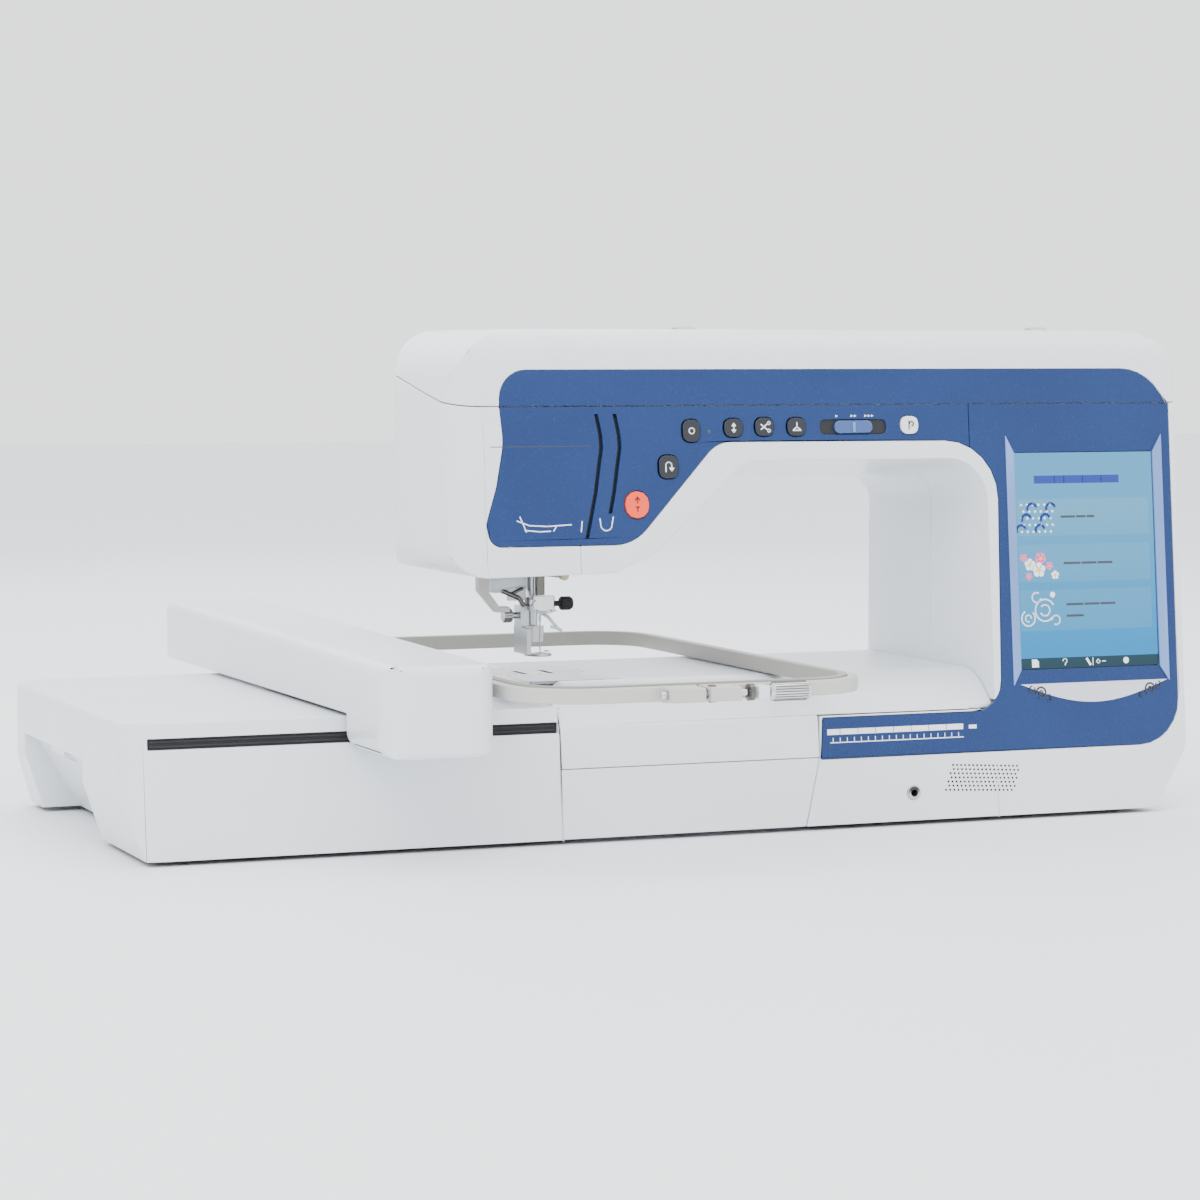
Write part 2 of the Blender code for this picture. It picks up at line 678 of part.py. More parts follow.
def drive(machine):
    upper = add_body("upper_shaft_body", (0, UPPER_Y, UPPER_Z), machine)
    belt_end = BELT_X + BELT_WIDTH
    steps = ((11.0, -77.6, -72.6), (4.2, -72.6, BELT_X - 2), (15.0, BELT_X - 2, BELT_X - 0.5),
             (PULLEY_RADIUS, BELT_X - 0.5, belt_end + 0.5), (4.2, belt_end + 0.5, 430.0))
    shaft = stepped_bar(steps, placed(0, UPPER_Y, UPPER_Z, "X"))
    add_piece("upper_shaft", shaft, "steel", upper)
    wheel_profile = [(0, 14.0), (20.0, 14.0), (26.0, 15.7), (31.0, 15.7), (33.0, 13.0), (33.0, 3.0),
                     (31.0, 1.0), (24.0, 1.0), (22.0, 3.0), (6.0, 3.0), (5.0, 2.4), (0, 2.4)]
    wheel = turned(wheel_profile, placed(428.3, UPPER_Y, UPPER_Z, "X"), 32)
    add_piece("handwheel", wheel, "white", upper)

    lower = add_body("lower_shaft_body", (0, HOOK_Y, LOWER_Z), machine)
    steps = ((9.0, 12.5, 17.0), (4.0, 17.0, BELT_X - 2), (15.0, BELT_X - 2, BELT_X - 0.5),
             (PULLEY_RADIUS, BELT_X - 0.5, belt_end + 0.5))
    add_piece("lower_shaft", stepped_bar(steps, placed(0, HOOK_Y, LOWER_Z, "X")), "steel", lower)

    motor = join(
        rod((316, MOTOR_Y, MOTOR_Z), (382, MOTOR_Y, MOTOR_Z), 27, sides=24),
        box(330, 370, MOTOR_Y + 10, 123.4, MOTOR_Z - 16, MOTOR_Z + 16),
    )
    add_piece("main_motor", motor, "castings", machine)
    pinion = add_body("motor_pulley_body", (0, MOTOR_Y, MOTOR_Z), machine)
    steps = ((2.5, 382.4, BELT_X - 2), (8.5, BELT_X - 2, BELT_X - 0.5),
             (MOTOR_PULLEY_RADIUS, BELT_X - 0.5, belt_end + 0.5))
    add_piece("motor_pulley", stepped_bar(steps, placed(0, MOTOR_Y, MOTOR_Z, "X")), "steel", pinion)

    rounds = ((UPPER_Y, UPPER_Z, PULLEY_RADIUS), (HOOK_Y, LOWER_Z, PULLEY_RADIUS),
              (MOTOR_Y, MOTOR_Z, MOTOR_PULLEY_RADIUS))
    outer, inner = (belt_loop(rounds, grow) for grow in (2.2, 0.5))
    belt = extrude(outer, BELT_X, belt_end, "X", holes=[inner])
    add_piece("timing_belt", belt, "rubber", machine)


def belt_loop(rounds, grow):
    """The tight loop around round pulleys, each given by its centre and radius."""
    points = [point for u, v, radius in rounds for point in disc(u, v, radius + grow, 32)]
    return [points[index] for index in convex_hull_2d(points)]


# ---------------------------------------------------------------- head and hook
def sewing_head(machine):
    bar = add_body("needle_bar_body", (0, NEEDLE_Y, 150), machine)
    add_piece("needle_bar", rod((0, NEEDLE_Y, 148.3), (0, NEEDLE_Y, 258), 3.2), "steel", bar)
    clamp = cut(
        extrude(rectangle(-6, 9, 94.5, 105.5, 3.0), 138, 148, "Z"),
        rod((0, NEEDLE_Y, 136), (0, NEEDLE_Y, 147), 1.3, sides=12),
        rod((3, NEEDLE_Y, 142.5), (12, NEEDLE_Y, 142.5), 2.1, sides=12),
    )
    add_piece("needle_clamp", clamp, "steel", bar)
    needle = turned([(0, 146.5), (1.0, 146.5), (1.0, 132), (0.55, 130), (0.5, 113), (0, 109.5)],
                    placed(0, NEEDLE_Y, 0), 10)
    add_piece("needle", needle, "steel", bar)
    screw = add_body("clamp_screw_body", (4, NEEDLE_Y, 142.5), bar)
    screw_profile = [(0, 22), (3.6, 22), (4, 21), (4, 14), (1.8, 13.6), (1.8, 3.6), (0, 3.6)]
    add_piece("clamp_screw", turned(screw_profile, placed(0, NEEDLE_Y, 142.5, "X"), 12), "dark", screw)

    presser = add_body("presser_bar_body", (0, PRESSER_Y, 150), machine)
    add_piece("presser_bar", rod((0, PRESSER_Y, 128), (0, PRESSER_Y, 258), 3.6), "steel", presser)
    foot = join(
        extrude(rectangle(-10.5, 6, 107.5, 121, 1.5), 117, 127.7, "Z"),
        box(-10.5, -7.5, 96, 120.5, 110, 127),
        box(-10.3, -4.5, 107.8, 120.2, 127, 141),
        extrude(disc(0, NEEDLE_Y, 7.5), 108.8, 110.8, "Z"),
        box(-10.0, -5, 97, 103, 109.1, 110.5),
        rod((-20.5, PRESSER_Y, 134.5), (-14.5, PRESSER_Y, 134.5), 4.2),
        rod((-15.5, PRESSER_Y, 134.5), (-8.5, PRESSER_Y, 134.5), 2.2),
    )
    foot = cut(foot, rod((0, NEEDLE_Y, 105), (0, NEEDLE_Y, 112), 3.8, sides=12),
               rod((0, PRESSER_Y, 127.8), (0, PRESSER_Y, 145), 3.9))
    add_piece("embroidery_foot", foot, "steel", presser)

    threader = add_body("needle_threader_body", (-38, NEEDLE_Y, 160), machine)
    points = [
        (-43, 152), (-31, 138), (-22, 138), (-22, 141.5),
        (-29, 141.5), (-36, 151), (-36, 200), (-43, 200),
    ]
    arm = extrude([Vector(point) for point in points], 96, 104, "Y")
    add_piece("needle_threader", arm, "grey", threader)

    lifter = add_body("presser_lifter_body", (10, 153, 186), machine)
    outline = [(147, 182, 3), (205, 172, 4), (226, 168, 4), (228, 176, 3), (206, 181, 4), (149, 192, 3)]
    lever = extrude(rounded(outline, 2), 5.5, 14.5, "X")
    add_piece("presser_lifter", lever, "dark", lifter)

    take_up = add_body("take_up_lever_body", (5, 70, 226), machine)
    lever = extrude([Vector(p) for p in ((73, 222), (73, 230), (38, 257), (34, 254))], 4, 6, "X")
    add_piece("take_up_lever", lever, "steel", take_up)


def hook_area(machine):
    plate_outline = [(-36, 52.3), (-25, 52.3), (-25, 93.8), (25, 93.8), (25, 52.3), (36, 52.3),
                     (36, 149.7), (-36, 149.7)]
    slots = [rectangle(x - 2, x + 2, 101, 125) for x in (-9, 9)]
    plate = extrude([Vector(point) for point in plate_outline], 95.2, 97.2, "Z",
                    holes=[disc(0, NEEDLE_Y, 1.8, 10), *slots])
    add_piece("needle_plate", plate, "steel", machine)
    cover = add_body("bobbin_cover_body", (0, 73, 95), machine)
    lens = extrude(rectangle(-24.7, 24.7, 52.3, 93.4, 2.0, 2), 95.2, 97.2, "Z")
    add_piece("bobbin_cover", lens, "clear", cover)

    feed = add_body("feed_dog_body", (0, 113, 84), machine)
    rows = [box(x - 1.5, x + 1.5, 102.5, 123.5, 86, 94.8) for x in (-9, 9)]
    add_piece("feed_dog", join(box(-12, 12, 104, 122, 82, 87), *rows), "steel", feed)

    hook = add_body("hook_body", (0, HOOK_Y, 80), machine)
    profile = [(17.4, 92), (18.6, 92), (18.6, 80), (4, 78.8), (4, 58), (11, 58), (9, 52.5), (0, 52.5)]
    profile = [(0, 80.8), (17.4, 80.8)] + profile
    add_piece("hook", turned(profile, placed(0, HOOK_Y, 0), 24), "steel", hook)
    case = [(0, 82.8), (11.2, 82.8), (11.2, 92.6), (17.0, 92.6), (17.0, 81.6), (0, 81.6)]
    add_piece("bobbin_case", turned(case, placed(0, HOOK_Y, 0), 24), "dark", machine)
    bobbin = add_body("bobbin_body", (0, HOOK_Y, 88), machine)
    spool = [(0, 93.5), (10.2, 93.5), (10.2, 92.5), (9, 92.3), (9, 84.4), (10.2, 84.2), (10.2, 83.2), (0, 83.2)]
    add_piece("bobbin", turned(spool, placed(0, HOOK_Y, 0), 20), "clear", bobbin)


# ---------------------------------------------------------------- electrics and top fittings
def electrics(machine):
    add_piece("speaker", rod((264, 7.4, 28.5), (264, 20, 28.5), 14, 9, 20), "dark", machine)
    socket = cut(rod((220.7, 1.0, 21), (220.7, 16, 21), 4.2), rod((220.7, -1, 21), (220.7, 13, 21), 2.1))
    add_piece("headphone_jack", socket, "dark", machine)
    inlet = cut(box(408, 428.2, 120.4, 147.6, 64.4, 85.6), box(418, 430, 124, 144, 68, 82))
    add_piece("power_inlet", inlet, "dark", machine)
    rocker = add_body("power_switch_body", (424, 134, 110), machine)
    points = [(420, 100), (427, 99), (430.4, 102), (427.6, 110), (428.6, 118), (426, 121), (420, 120)]
    rocker_solid = extrude([Vector(point) for point in points], 124.6, 143.4, "Y")
    add_piece("power_switch", rocker_solid, "dark", rocker)


def spool_fittings(machine):
    pin_profile = [(0, 300), (2.5, 299), (2.5, 269.5), (12, 268.5), (12, 265), (0, 265)]
    add_piece("spool_pin", turned(pin_profile, placed(300, 92, 0), 16), "grey", machine)
    winder = add_body("bobbin_winder_body", (385, 70, 268), machine)
    spindle = turned([(0, 286), (2.8, 285), (2.8, 271), (9, 270), (9, 265), (0, 265)], placed(385, 70, 0), 16)
    add_piece("bobbin_winder", spindle, "dark", winder)


# ---------------------------------------------------------------- embroidery unit
def unit_outline(inset=0.0):
    low = -10.0 if inset else SHELL_BOTTOM
    corners = [
        (-287 + inset, low, 0.0),
        (UNIT_RIGHT - inset, low, 0.0),
        (UNIT_RIGHT - inset, UNIT_TOP - inset, 1.0),
        (UNIT_LEFT + inset, UNIT_TOP - inset, 6.0 - inset),
        (UNIT_LEFT + inset, 40, 0.0),
        (-287 + inset, SHELL_BOTTOM + 1, 0.0),
    ]
    return rounded(corners)


def unit_solid(inset=0.0):
    low = -12.0 if inset else SHELL_BOTTOM
    side = [(inset + LEAN * low, low), (UNIT_BACK - inset, low), (UNIT_BACK - inset, UNIT_TOP - inset),
            (inset + LEAN * (UNIT_TOP - inset), UNIT_TOP - inset)]
    plan_corners = [
        (UNIT_LEFT + inset, -40, 0),
        (UNIT_RIGHT - inset, -40, 0),
        (UNIT_RIGHT - inset, UNIT_BACK - inset, 4),
        (UNIT_LEFT + inset, UNIT_BACK - inset, 20),
    ]
    plan = rounded(plan_corners, arc_steps(inset))
    block = common(
        extrude(unit_outline(inset), -30, 330, "Y"),
        extrude([Vector(point) for point in side], -320, 10, "X"),
        extrude(plan, -30, 100, "Z"),
    )
    return cut(block, front_corner(20.0, UNIT_LEFT + inset, -1))


def wing_solid(inset=0.0):
    """The unit's low wing in front of the free arm."""
    low = -14.0 if inset else SHELL_BOTTOM + 0.1
    front = inset + STEP_BACK
    right = JOINT_X - 0.4 - inset
    points = [(-40, low), (143.4 - inset, low), (right, WING_TOP - inset), (-40, WING_TOP - inset)]
    wing = extrude([Vector(point) for point in points], -20, FREE_ARM_Y - 1.5 - inset, "Y")
    side = [(front + LEAN * low, low), (60, low), (60, 60), (front + LEAN * 60, 60)]
    return common(wing, extrude([Vector(point) for point in side], -60, 200, "X"))


def grip_notch(grow=0.0):
    """The hand grip under the unit's left end, with a slanting back wall."""
    points = [(-330, -20), (-250 + grow, -20), (-262 + grow, 3), (-292 + grow, 53 + grow), (-330, 53 + grow)]
    return extrude([Vector(point) for point in points], 111 - grow, 273 + grow, "Y")


def embroidery_unit(unit):
    shell = join(unit_solid(), wing_solid())
    cavity = cut(unit_solid(WALL), grip_notch(WALL))
    front_slot = lean(box(-284, -23.6, -20, 12, 69, 75.8))
    shell = cut(shell, cavity, wing_solid(WALL - 4 * STEP_BACK), grip_notch(), front_slot)
    add_piece("unit_cover", cut(shell, box(-296, -286, 174, 210, 44, 58)), "white", unit)
    outline = [
        (-270, 6), (-27, 6), (-27, 295), (-256, 295),
        (-256, 282), (-246, 282), (-246, 104), (-270, 104),
    ]
    base = extrude([Vector(point) for point in outline], 3.4, 6.4, "Z")
    feet = [rod((x, y, 0), (x, y, 5), 8) for x, y in ((-262, 24), (-45, 24), (-45, 280), (-236, 280))]
    add_piece("unit_base", join(base, *feet), "dark", unit)
    add_piece("x_rail", rod((-290, RAIL_Y, RAIL_Z), (-27, RAIL_Y, RAIL_Z), 4), "steel", unit)
    release = add_body("unit_release_body", (-291, 192, 53), unit)
    add_piece("unit_release", box(-295.5, -286.5, 174.5, 209.5, 48, 55), "grey", release)


def carriage_profile(inset=0.0):
    """Side view of the carriage: a long arm whose front cap hangs over the unit's edge."""
    drop = CARRIAGE_DROP
    heel = 3.0
    if not inset:
        corners = [(CARRIAGE_FRONT, drop, 5), (heel, drop, 3), (heel, CARRIAGE_BOTTOM, 0),
                   (CARRIAGE_BACK, CARRIAGE_BOTTOM, 0), (CARRIAGE_BACK, CARRIAGE_TOP, 8),
                   (CARRIAGE_FRONT, CARRIAGE_TOP, 8)]
        return rounded(corners)
    points = [(CARRIAGE_FRONT + inset, drop + inset), (heel - inset, drop + inset), (heel - inset, 80),
              (CARRIAGE_BACK - inset, 80), (CARRIAGE_BACK - inset, CARRIAGE_TOP - inset),
              (CARRIAGE_FRONT + inset, CARRIAGE_TOP - inset)]
    return [Vector(point) for point in points]


def carriage_solid(inset=0.0):
    left, right = CARRIAGE_LEFT + inset, CARRIAGE_RIGHT - inset
    round_low = 0 if inset else 11
    drop = CARRIAGE_DROP - 30 * bool(inset)
    section_corners = [
        (left, drop, round_low),
        (right, drop, round_low),
        (right, CARRIAGE_TOP - inset, 9 - inset),
        (left, CARRIAGE_TOP - inset, 9 - inset),
    ]
    section = rounded(section_corners, arc_steps(inset))
    plan_corners = [
        (left, CARRIAGE_FRONT + inset, 18 - inset),
        (right, CARRIAGE_FRONT + inset, 18 - inset),
        (right, CARRIAGE_BACK - inset, 14 - inset),
        (left, CARRIAGE_BACK - inset, 14 - inset),
    ]
    plan = rounded(plan_corners, arc_steps(inset))
    solid = common(extrude(carriage_profile(inset), left - 5, right + 5, "X"),
                   extrude(section, CARRIAGE_FRONT - 5, CARRIAGE_BACK + 5, "Y"),
                   extrude(plan, 30, 130, "Z"))
    slope = CARRIAGE_RISE / (CARRIAGE_BACK - CARRIAGE_FRONT)
    for vertex in solid.data.vertices:
        if vertex.co.z > ARM_RAIL_Z * MM:
            vertex.co.z += slope * (vertex.co.y - (CARRIAGE_FRONT - CENTRE_Y) * MM)
    return solid


def carriage_pieces(carriage, holder):
    side_slot = box(-95, -85, -48, 418, 96, 107)
    tongue_way = box(-142, -110, -8, 8, 69.6, 75.4)
    shell = cut(carriage_solid(), carriage_solid(WALL), side_slot, tongue_way)
    add_piece("carriage_cover", shell, "white", carriage)
    points = [(-62, 88.2), (-24, 88.2), (-24, 70.5), (32, 70.5), (32, 52), (48, 52), (48, 74.5), (-16, 74.5),
              (-16, 88.2), (424, 88.2), (424, 91), (-62, 91)]
    bracket = extrude([Vector(point) for point in points], -140, -112, "X")
    ends = [box(-134, -118, front, back, 90, 113) for front, back in ((-58, -50), (416, 423))]
    rail_bore = rod((-150, RAIL_Y, RAIL_Z), (-100, RAIL_Y, RAIL_Z), 4.4)
    arm_bore = rod((-126, -70, ARM_RAIL_Z), (-126, 440, ARM_RAIL_Z), 4.3)
    add_piece("carriage_base", cut(join(bracket, *ends), rail_bore, arm_bore), "castings", carriage)
    add_piece("y_rail", rod((-126, -57, ARM_RAIL_Z), (-126, 422, ARM_RAIL_Z), 4), "steel", carriage)
    block = join(box(-137, -113, 104, 256, 94, 114), box(-120, HOOP_LEFT - 0.4, 108, 252, 98, 104.5))
    block = cut(block, rod((-126, 90, ARM_RAIL_Z), (-126, 270, ARM_RAIL_Z), 4.4))
    add_piece("hoop_holder", block, "grey", holder)


def hoop_ring(grow, steps=ARC_STEPS):
    """The hoop's outline: a rectangle with round corners, moved inwards by a negative grow."""
    outline = rectangle(HOOP_LEFT, HOOP_RIGHT, HOOP_FRONT, HOOP_BACK, HOOP_CORNER, steps)
    return offset(outline, grow)


def hoop_pieces(holder):
    outer = extrude(hoop_ring(0), HOOP_BOTTOM, HOOP_TOP, "Z", holes=[hoop_ring(-6.5)])
    lug_y = HOOP_FRONT - 7
    low, high = HOOP_BOTTOM + 0.2, HOOP_TOP - 0.2
    lugs = [
        box(HOOP_SPLIT_X + left, HOOP_SPLIT_X + right, lug_y - 7, HOOP_FRONT + 3, low, high)
        for left, right in ((-24, 0.5), (-0.5, 22))
    ]
    gap = box(HOOP_SPLIT_X - 1.5, HOOP_SPLIT_X + 1.5, lug_y - 20, HOOP_FRONT + 12, 90, 115)
    screw_way = rod((-20, lug_y, 102.5), (70, lug_y, 102.5), 2.4, sides=12)
    add_piece("hoop_outer", cut(join(outer, *lugs), gap, screw_way), "grey", holder)
    lift = add_body("hoop_inner_body", (31, 96, 103), holder)
    inner = extrude(hoop_ring(-6.9), HOOP_BOTTOM + 0.1, HOOP_TOP + 1.0, "Z", holes=[hoop_ring(-12.0)])
    add_piece("hoop_inner", inner, "grey", lift)
    knob = add_body("hoop_screw_body", (60, lug_y, 102.5), holder)
    profile = [(0, 92), (4.8, 92), (5.8, 90.5), (5.8, 68), (4.0, 66), (2.0, 66), (2.0, -4), (0, -4)]
    add_piece("hoop_screw", turned(profile, placed(0, lug_y, 102.5, "X"), 16), "steel", knob)


def main():
    for old in list(bpy.data.objects):
        bpy.data.objects.remove(old)
    collection = bpy.data.collections.new("embroidery_machine")
    bpy.context.scene.collection.children.link(collection)

    machine = add_body("machine")
    machine_shells(machine)
    lid_pieces(add_body("lid_body", (170, DECK_Y - GAP, BODY_TOP), machine))
    carry_handle(add_body("carry_handle_body", (272.5, 186, 308), machine))
    fascia(machine)
    controls(machine)
    chassis(machine)
    drive(machine)
    sewing_head(machine)
    hook_area(machine)
    electrics(machine)
    spool_fittings(machine)

    unit = add_body("embroidery_unit", (-160, 150, 40), machine)
    embroidery_unit(unit)
    carriage = add_body("carriage_body", (-126, RAIL_Y, RAIL_Z), unit)
    holder = add_body("hoop_body", (-126, 180, ARM_RAIL_Z), carriage)
    carriage_pieces(carriage, holder)
    hoop_pieces(holder)


main()
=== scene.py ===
import json
import math
import bmesh
import bpy
from mathutils import Matrix, Vector

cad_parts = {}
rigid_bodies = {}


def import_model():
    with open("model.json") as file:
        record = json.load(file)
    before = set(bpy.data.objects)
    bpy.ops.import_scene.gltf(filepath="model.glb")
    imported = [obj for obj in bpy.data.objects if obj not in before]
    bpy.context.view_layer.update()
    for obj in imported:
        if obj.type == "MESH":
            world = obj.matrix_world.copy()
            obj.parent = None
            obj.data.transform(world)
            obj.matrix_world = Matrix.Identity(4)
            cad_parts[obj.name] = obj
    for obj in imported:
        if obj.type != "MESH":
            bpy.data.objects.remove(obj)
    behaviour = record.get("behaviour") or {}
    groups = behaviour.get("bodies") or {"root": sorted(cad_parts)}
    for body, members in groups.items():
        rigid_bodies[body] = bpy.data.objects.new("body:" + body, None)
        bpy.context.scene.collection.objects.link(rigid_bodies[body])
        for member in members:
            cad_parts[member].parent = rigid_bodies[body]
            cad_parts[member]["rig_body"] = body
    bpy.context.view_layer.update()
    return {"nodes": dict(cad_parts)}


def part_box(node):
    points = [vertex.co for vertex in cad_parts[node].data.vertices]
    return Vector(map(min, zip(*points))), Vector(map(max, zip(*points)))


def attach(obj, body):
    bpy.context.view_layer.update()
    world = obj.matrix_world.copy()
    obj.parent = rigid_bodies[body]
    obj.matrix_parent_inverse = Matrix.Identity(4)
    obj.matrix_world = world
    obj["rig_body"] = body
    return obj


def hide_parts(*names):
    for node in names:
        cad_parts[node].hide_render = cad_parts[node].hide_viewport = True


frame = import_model()
scene = bpy.context.scene
print("frame loaded:", len(frame["nodes"]), "nodes")

# Everything is drawn in millimetres from the needle's line, the front foot line and the table.
mm = 0.001
needleBehindFront = 100.0
needleLow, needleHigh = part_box("needle")
needleMiddle = (needleLow + needleHigh) / 2
origin = Vector((needleMiddle.x, needleMiddle.y - needleBehindFront * mm, 0))
toWorld = Matrix.Translation(origin) @ Matrix.Scale(mm, 4)
leanAngle = math.radians(5.3)  # the front faces lean back as they rise
leanShear = Matrix.Identity(4)
leanShear[1][2] = math.tan(leanAngle)
toFront = toWorld @ leanShear


# Materials

def linear(hexColour):
    channels = [int(hexColour[start:start + 2], 16) / 255 for start in (1, 3, 5)]
    light = [c / 12.92 if c <= 0.04045 else ((c + 0.055) / 1.055) ** 2.4 for c in channels]
    return (*light, 1.0)


def addNode(tree, kind, settings=None, links=None):
    node = tree.nodes.new(kind)
    for key, value in (settings or {}).items():
        if isinstance(key, str) and hasattr(node, key):
            setattr(node, key, value)
        else:
            node.inputs[key].default_value = value
    for key, source in (links or {}).items():
        tree.links.new(source, node.inputs[key])
    return node


def newMaterial(name, sockets):
    material = bpy.data.materials.new(name)
    material.use_nodes = True
    tree = material.node_tree
    shader = tree.nodes["Principled BSDF"]
    for key, value in sockets.items():
        shader.inputs[key].default_value = value
    material.diffuse_color = sockets.get("Base Color", (0.8, 0.8, 0.8, 1))
    return material, tree, shader


def objectPlace(tree, stretch=(1, 1, 1)):
    place = addNode(tree, "ShaderNodeTexCoord").outputs["Object"]
    return addNode(tree, "ShaderNodeMapping", {"Scale": stretch}, {"Vector": place}).outputs["Vector"]


def grained(name, look):
    # A moulded or ground surface: two close tints, an uneven gloss and a fine grain in the bump.
    sockets = {"Metallic": look.get("metallic", 0.0)}
    sockets.update(look.get("sockets", {}))
    material, tree, shader = newMaterial(name, sockets)
    place = objectPlace(tree, look.get("stretch", (1, 1, 1)))
    cloud = addNode(tree, "ShaderNodeTexNoise", {"Scale": 1 / (look.get("cloudMm", 60) * mm), "Detail": 3.0},
                    {"Vector": place})
    tint = addNode(tree, "ShaderNodeMix", {"data_type": "RGBA", 6: linear(look["colour"]),
                                           7: linear(look["tint"])}, {0: cloud.outputs["Fac"]})
    tree.links.new(tint.outputs[2], shader.inputs["Base Color"])
    grain = addNode(tree, "ShaderNodeTexNoise", {"Scale": 1 / (look["grainMm"] * mm), "Detail": 2.0},
                    {"Vector": place})
    low, high = look["roughness"]
    gloss = addNode(tree, "ShaderNodeMapRange", {"To Min": low, "To Max": high},
                    {"Value": grain.outputs["Fac"]})
    tree.links.new(gloss.outputs["Result"], shader.inputs["Roughness"])
    depth = look.get("depthMm", 0.05) * mm
    bump = addNode(tree, "ShaderNodeBump", {"Strength": look["bump"], "Distance": depth},
                   {"Height": grain.outputs["Fac"]})
    tree.links.new(bump.outputs["Normal"], shader.inputs["Normal"])
    material.diffuse_color = linear(look["colour"])
    return material


def flakeLacquer(name, look):
    # Metallic lacquer: a satin blue ground with sparse bright flecks under a hard clear coat.
    material, tree, shader = newMaterial(name, look["sockets"])
    place = objectPlace(tree)
    cells = addNode(tree, "ShaderNodeTexVoronoi", {"Scale": 1 / (look["flakeMm"] * mm)}, {"Vector": place})
    chance = addNode(tree, "ShaderNodeSeparateColor", links={"Color": cells.outputs["Color"]})
    core = addNode(tree, "ShaderNodeMath", {"operation": "LESS_THAN", 1: look["flakeCore"]},
                   {0: cells.outputs["Distance"]})
    rare = addNode(tree, "ShaderNodeMath", {"operation": "GREATER_THAN", 1: look["flakeRarity"]},
                   {0: chance.outputs["Red"]})
    fleck = addNode(tree, "ShaderNodeMath", {"operation": "MULTIPLY"},
                    {0: core.outputs["Value"], 1: rare.outputs["Value"]})
    cloud = addNode(tree, "ShaderNodeTexNoise", {"Scale": 1 / (look["cloudMm"] * mm), "Detail": 2.0},
                    {"Vector": place})
    ground = addNode(tree, "ShaderNodeMix", {"data_type": "RGBA", 6: linear(look["colour"]),
                                             7: linear(look["tint"])}, {0: cloud.outputs["Fac"]})
    paint = addNode(tree, "ShaderNodeMix", {"data_type": "RGBA", 7: linear(look["fleck"])},
                    {0: fleck.outputs["Value"], 6: ground.outputs[2]})
    tree.links.new(paint.outputs[2], shader.inputs["Base Color"])
    gloss = addNode(tree, "ShaderNodeMapRange", {"To Min": 0.26, "To Max": 0.38},
                    {"Value": chance.outputs["Green"]})
    tree.links.new(gloss.outputs["Result"], shader.inputs["Roughness"])
    material.diffuse_color = linear(look["colour"])
    return material


def litPicture(name, look):
    # A backlit display behind hard glass: dark in itself, with a vertical wash of colour that glows.
    material, tree, shader = newMaterial(name, look["sockets"])
    place = objectPlace(tree)
    height = addNode(tree, "ShaderNodeSeparateXYZ", links={"Vector": place})
    ends = {"From Min": look["low"] * mm, "From Max": look["high"] * mm}
    share = addNode(tree, "ShaderNodeMapRange", ends, {"Value": height.outputs["Z"]})
    ramp = addNode(tree, "ShaderNodeValToRGB", links={"Fac": share.outputs["Result"]})
    ramp.color_ramp.elements[0].color = linear(look["bottom"])
    ramp.color_ramp.elements[1].color = linear(look["top"])
    specks = addNode(tree, "ShaderNodeTexNoise", {"Scale": 1 / (look["grainMm"] * mm)}, {"Vector": place})
    soft = addNode(tree, "ShaderNodeMix", {"data_type": "RGBA", "blend_type": "SOFT_LIGHT", 0: 0.15},
                   {6: ramp.outputs["Color"], 7: specks.outputs["Color"]})
    tree.links.new(soft.outputs[2], shader.inputs["Emission Color"])
    return material


coated = {"Coat Weight": 0.2, "Coat Roughness": 0.12}
# ABS, injection moulded in a polished tool with a faint spark grain: a soft white sheen.
shellLook = {"colour": "#E3E7EB", "tint": "#DCE1E6", "roughness": (0.28, 0.36), "grainMm": 0.5, "bump": 0.05,
             "sockets": coated}
# Acetal and ABS satin mouldings: warm pale grey with a fine even grain.
greyLook = {"colour": "#BDBBB6", "tint": "#B2B0AA", "roughness": (0.36, 0.48), "grainMm": 0.45, "bump": 0.1}
hoopLook = {"colour": "#C3C2BD", "tint": "#B4B2AC", "roughness": (0.3, 0.42), "grainMm": 0.6, "bump": 0.08}
hoopInnerLook = {"colour": "#96938C", "tint": "#8A877F", "roughness": (0.32, 0.44), "grainMm": 0.6,
                 "bump": 0.08}
beigeLook = {"colour": "#CFC4A4", "tint": "#C2B693", "roughness": (0.34, 0.46), "grainMm": 0.4, "bump": 0.08}
# Glass-filled nylon: near black and matt, with a coarse spark texture.
darkLook = {"colour": "#1F2229", "tint": "#292C34", "roughness": (0.45, 0.6), "grainMm": 0.6, "bump": 0.25}
# Near black: the clamp screw's own plastic and the needle plate's engraved lines, and painted shade where
# black solids stand in for holes, slots, vents, grooves and the openings behind channels.
blackAndOpeningShadeLook = {"colour": "#0D0E10", "tint": "#15171A", "roughness": (0.55, 0.7), "grainMm": 0.8, "bump": 0.3}
keyLook = {"colour": "#0E1420", "tint": "#0A0F19", "roughness": (0.25, 0.34), "grainMm": 0.4, "bump": 0.06,
           "sockets": coated}
startLook = {"colour": "#F2481E", "tint": "#E63E16", "roughness": (0.25, 0.34), "grainMm": 0.4, "bump": 0.05,
             "sockets": {**coated, "Emission Color": linear("#FF6A3C"), "Emission Strength": 0.25}}
# Cast aluminium: dull and slightly pitted, as it leaves the die.
castLook = {"colour": "#A3A6A8", "tint": "#8D9092", "metallic": 0.9, "roughness": (0.42, 0.6),
            "grainMm": 1.2,
            "bump": 0.35, "depthMm": 0.15}
# Ground and polished carbon steel: fine lines along the length and a broken highlight.
steelLook = {"colour": "#C4C6C8", "tint": "#ABADB0", "metallic": 1.0, "roughness": (0.16, 0.32),
             "grainMm": 0.5, "bump": 0.12, "stretch": (1, 1, 0.15), "cloudMm": 12}
darkSteelLook = {**steelLook, "colour": "#6E6B66", "tint": "#5B5853"}
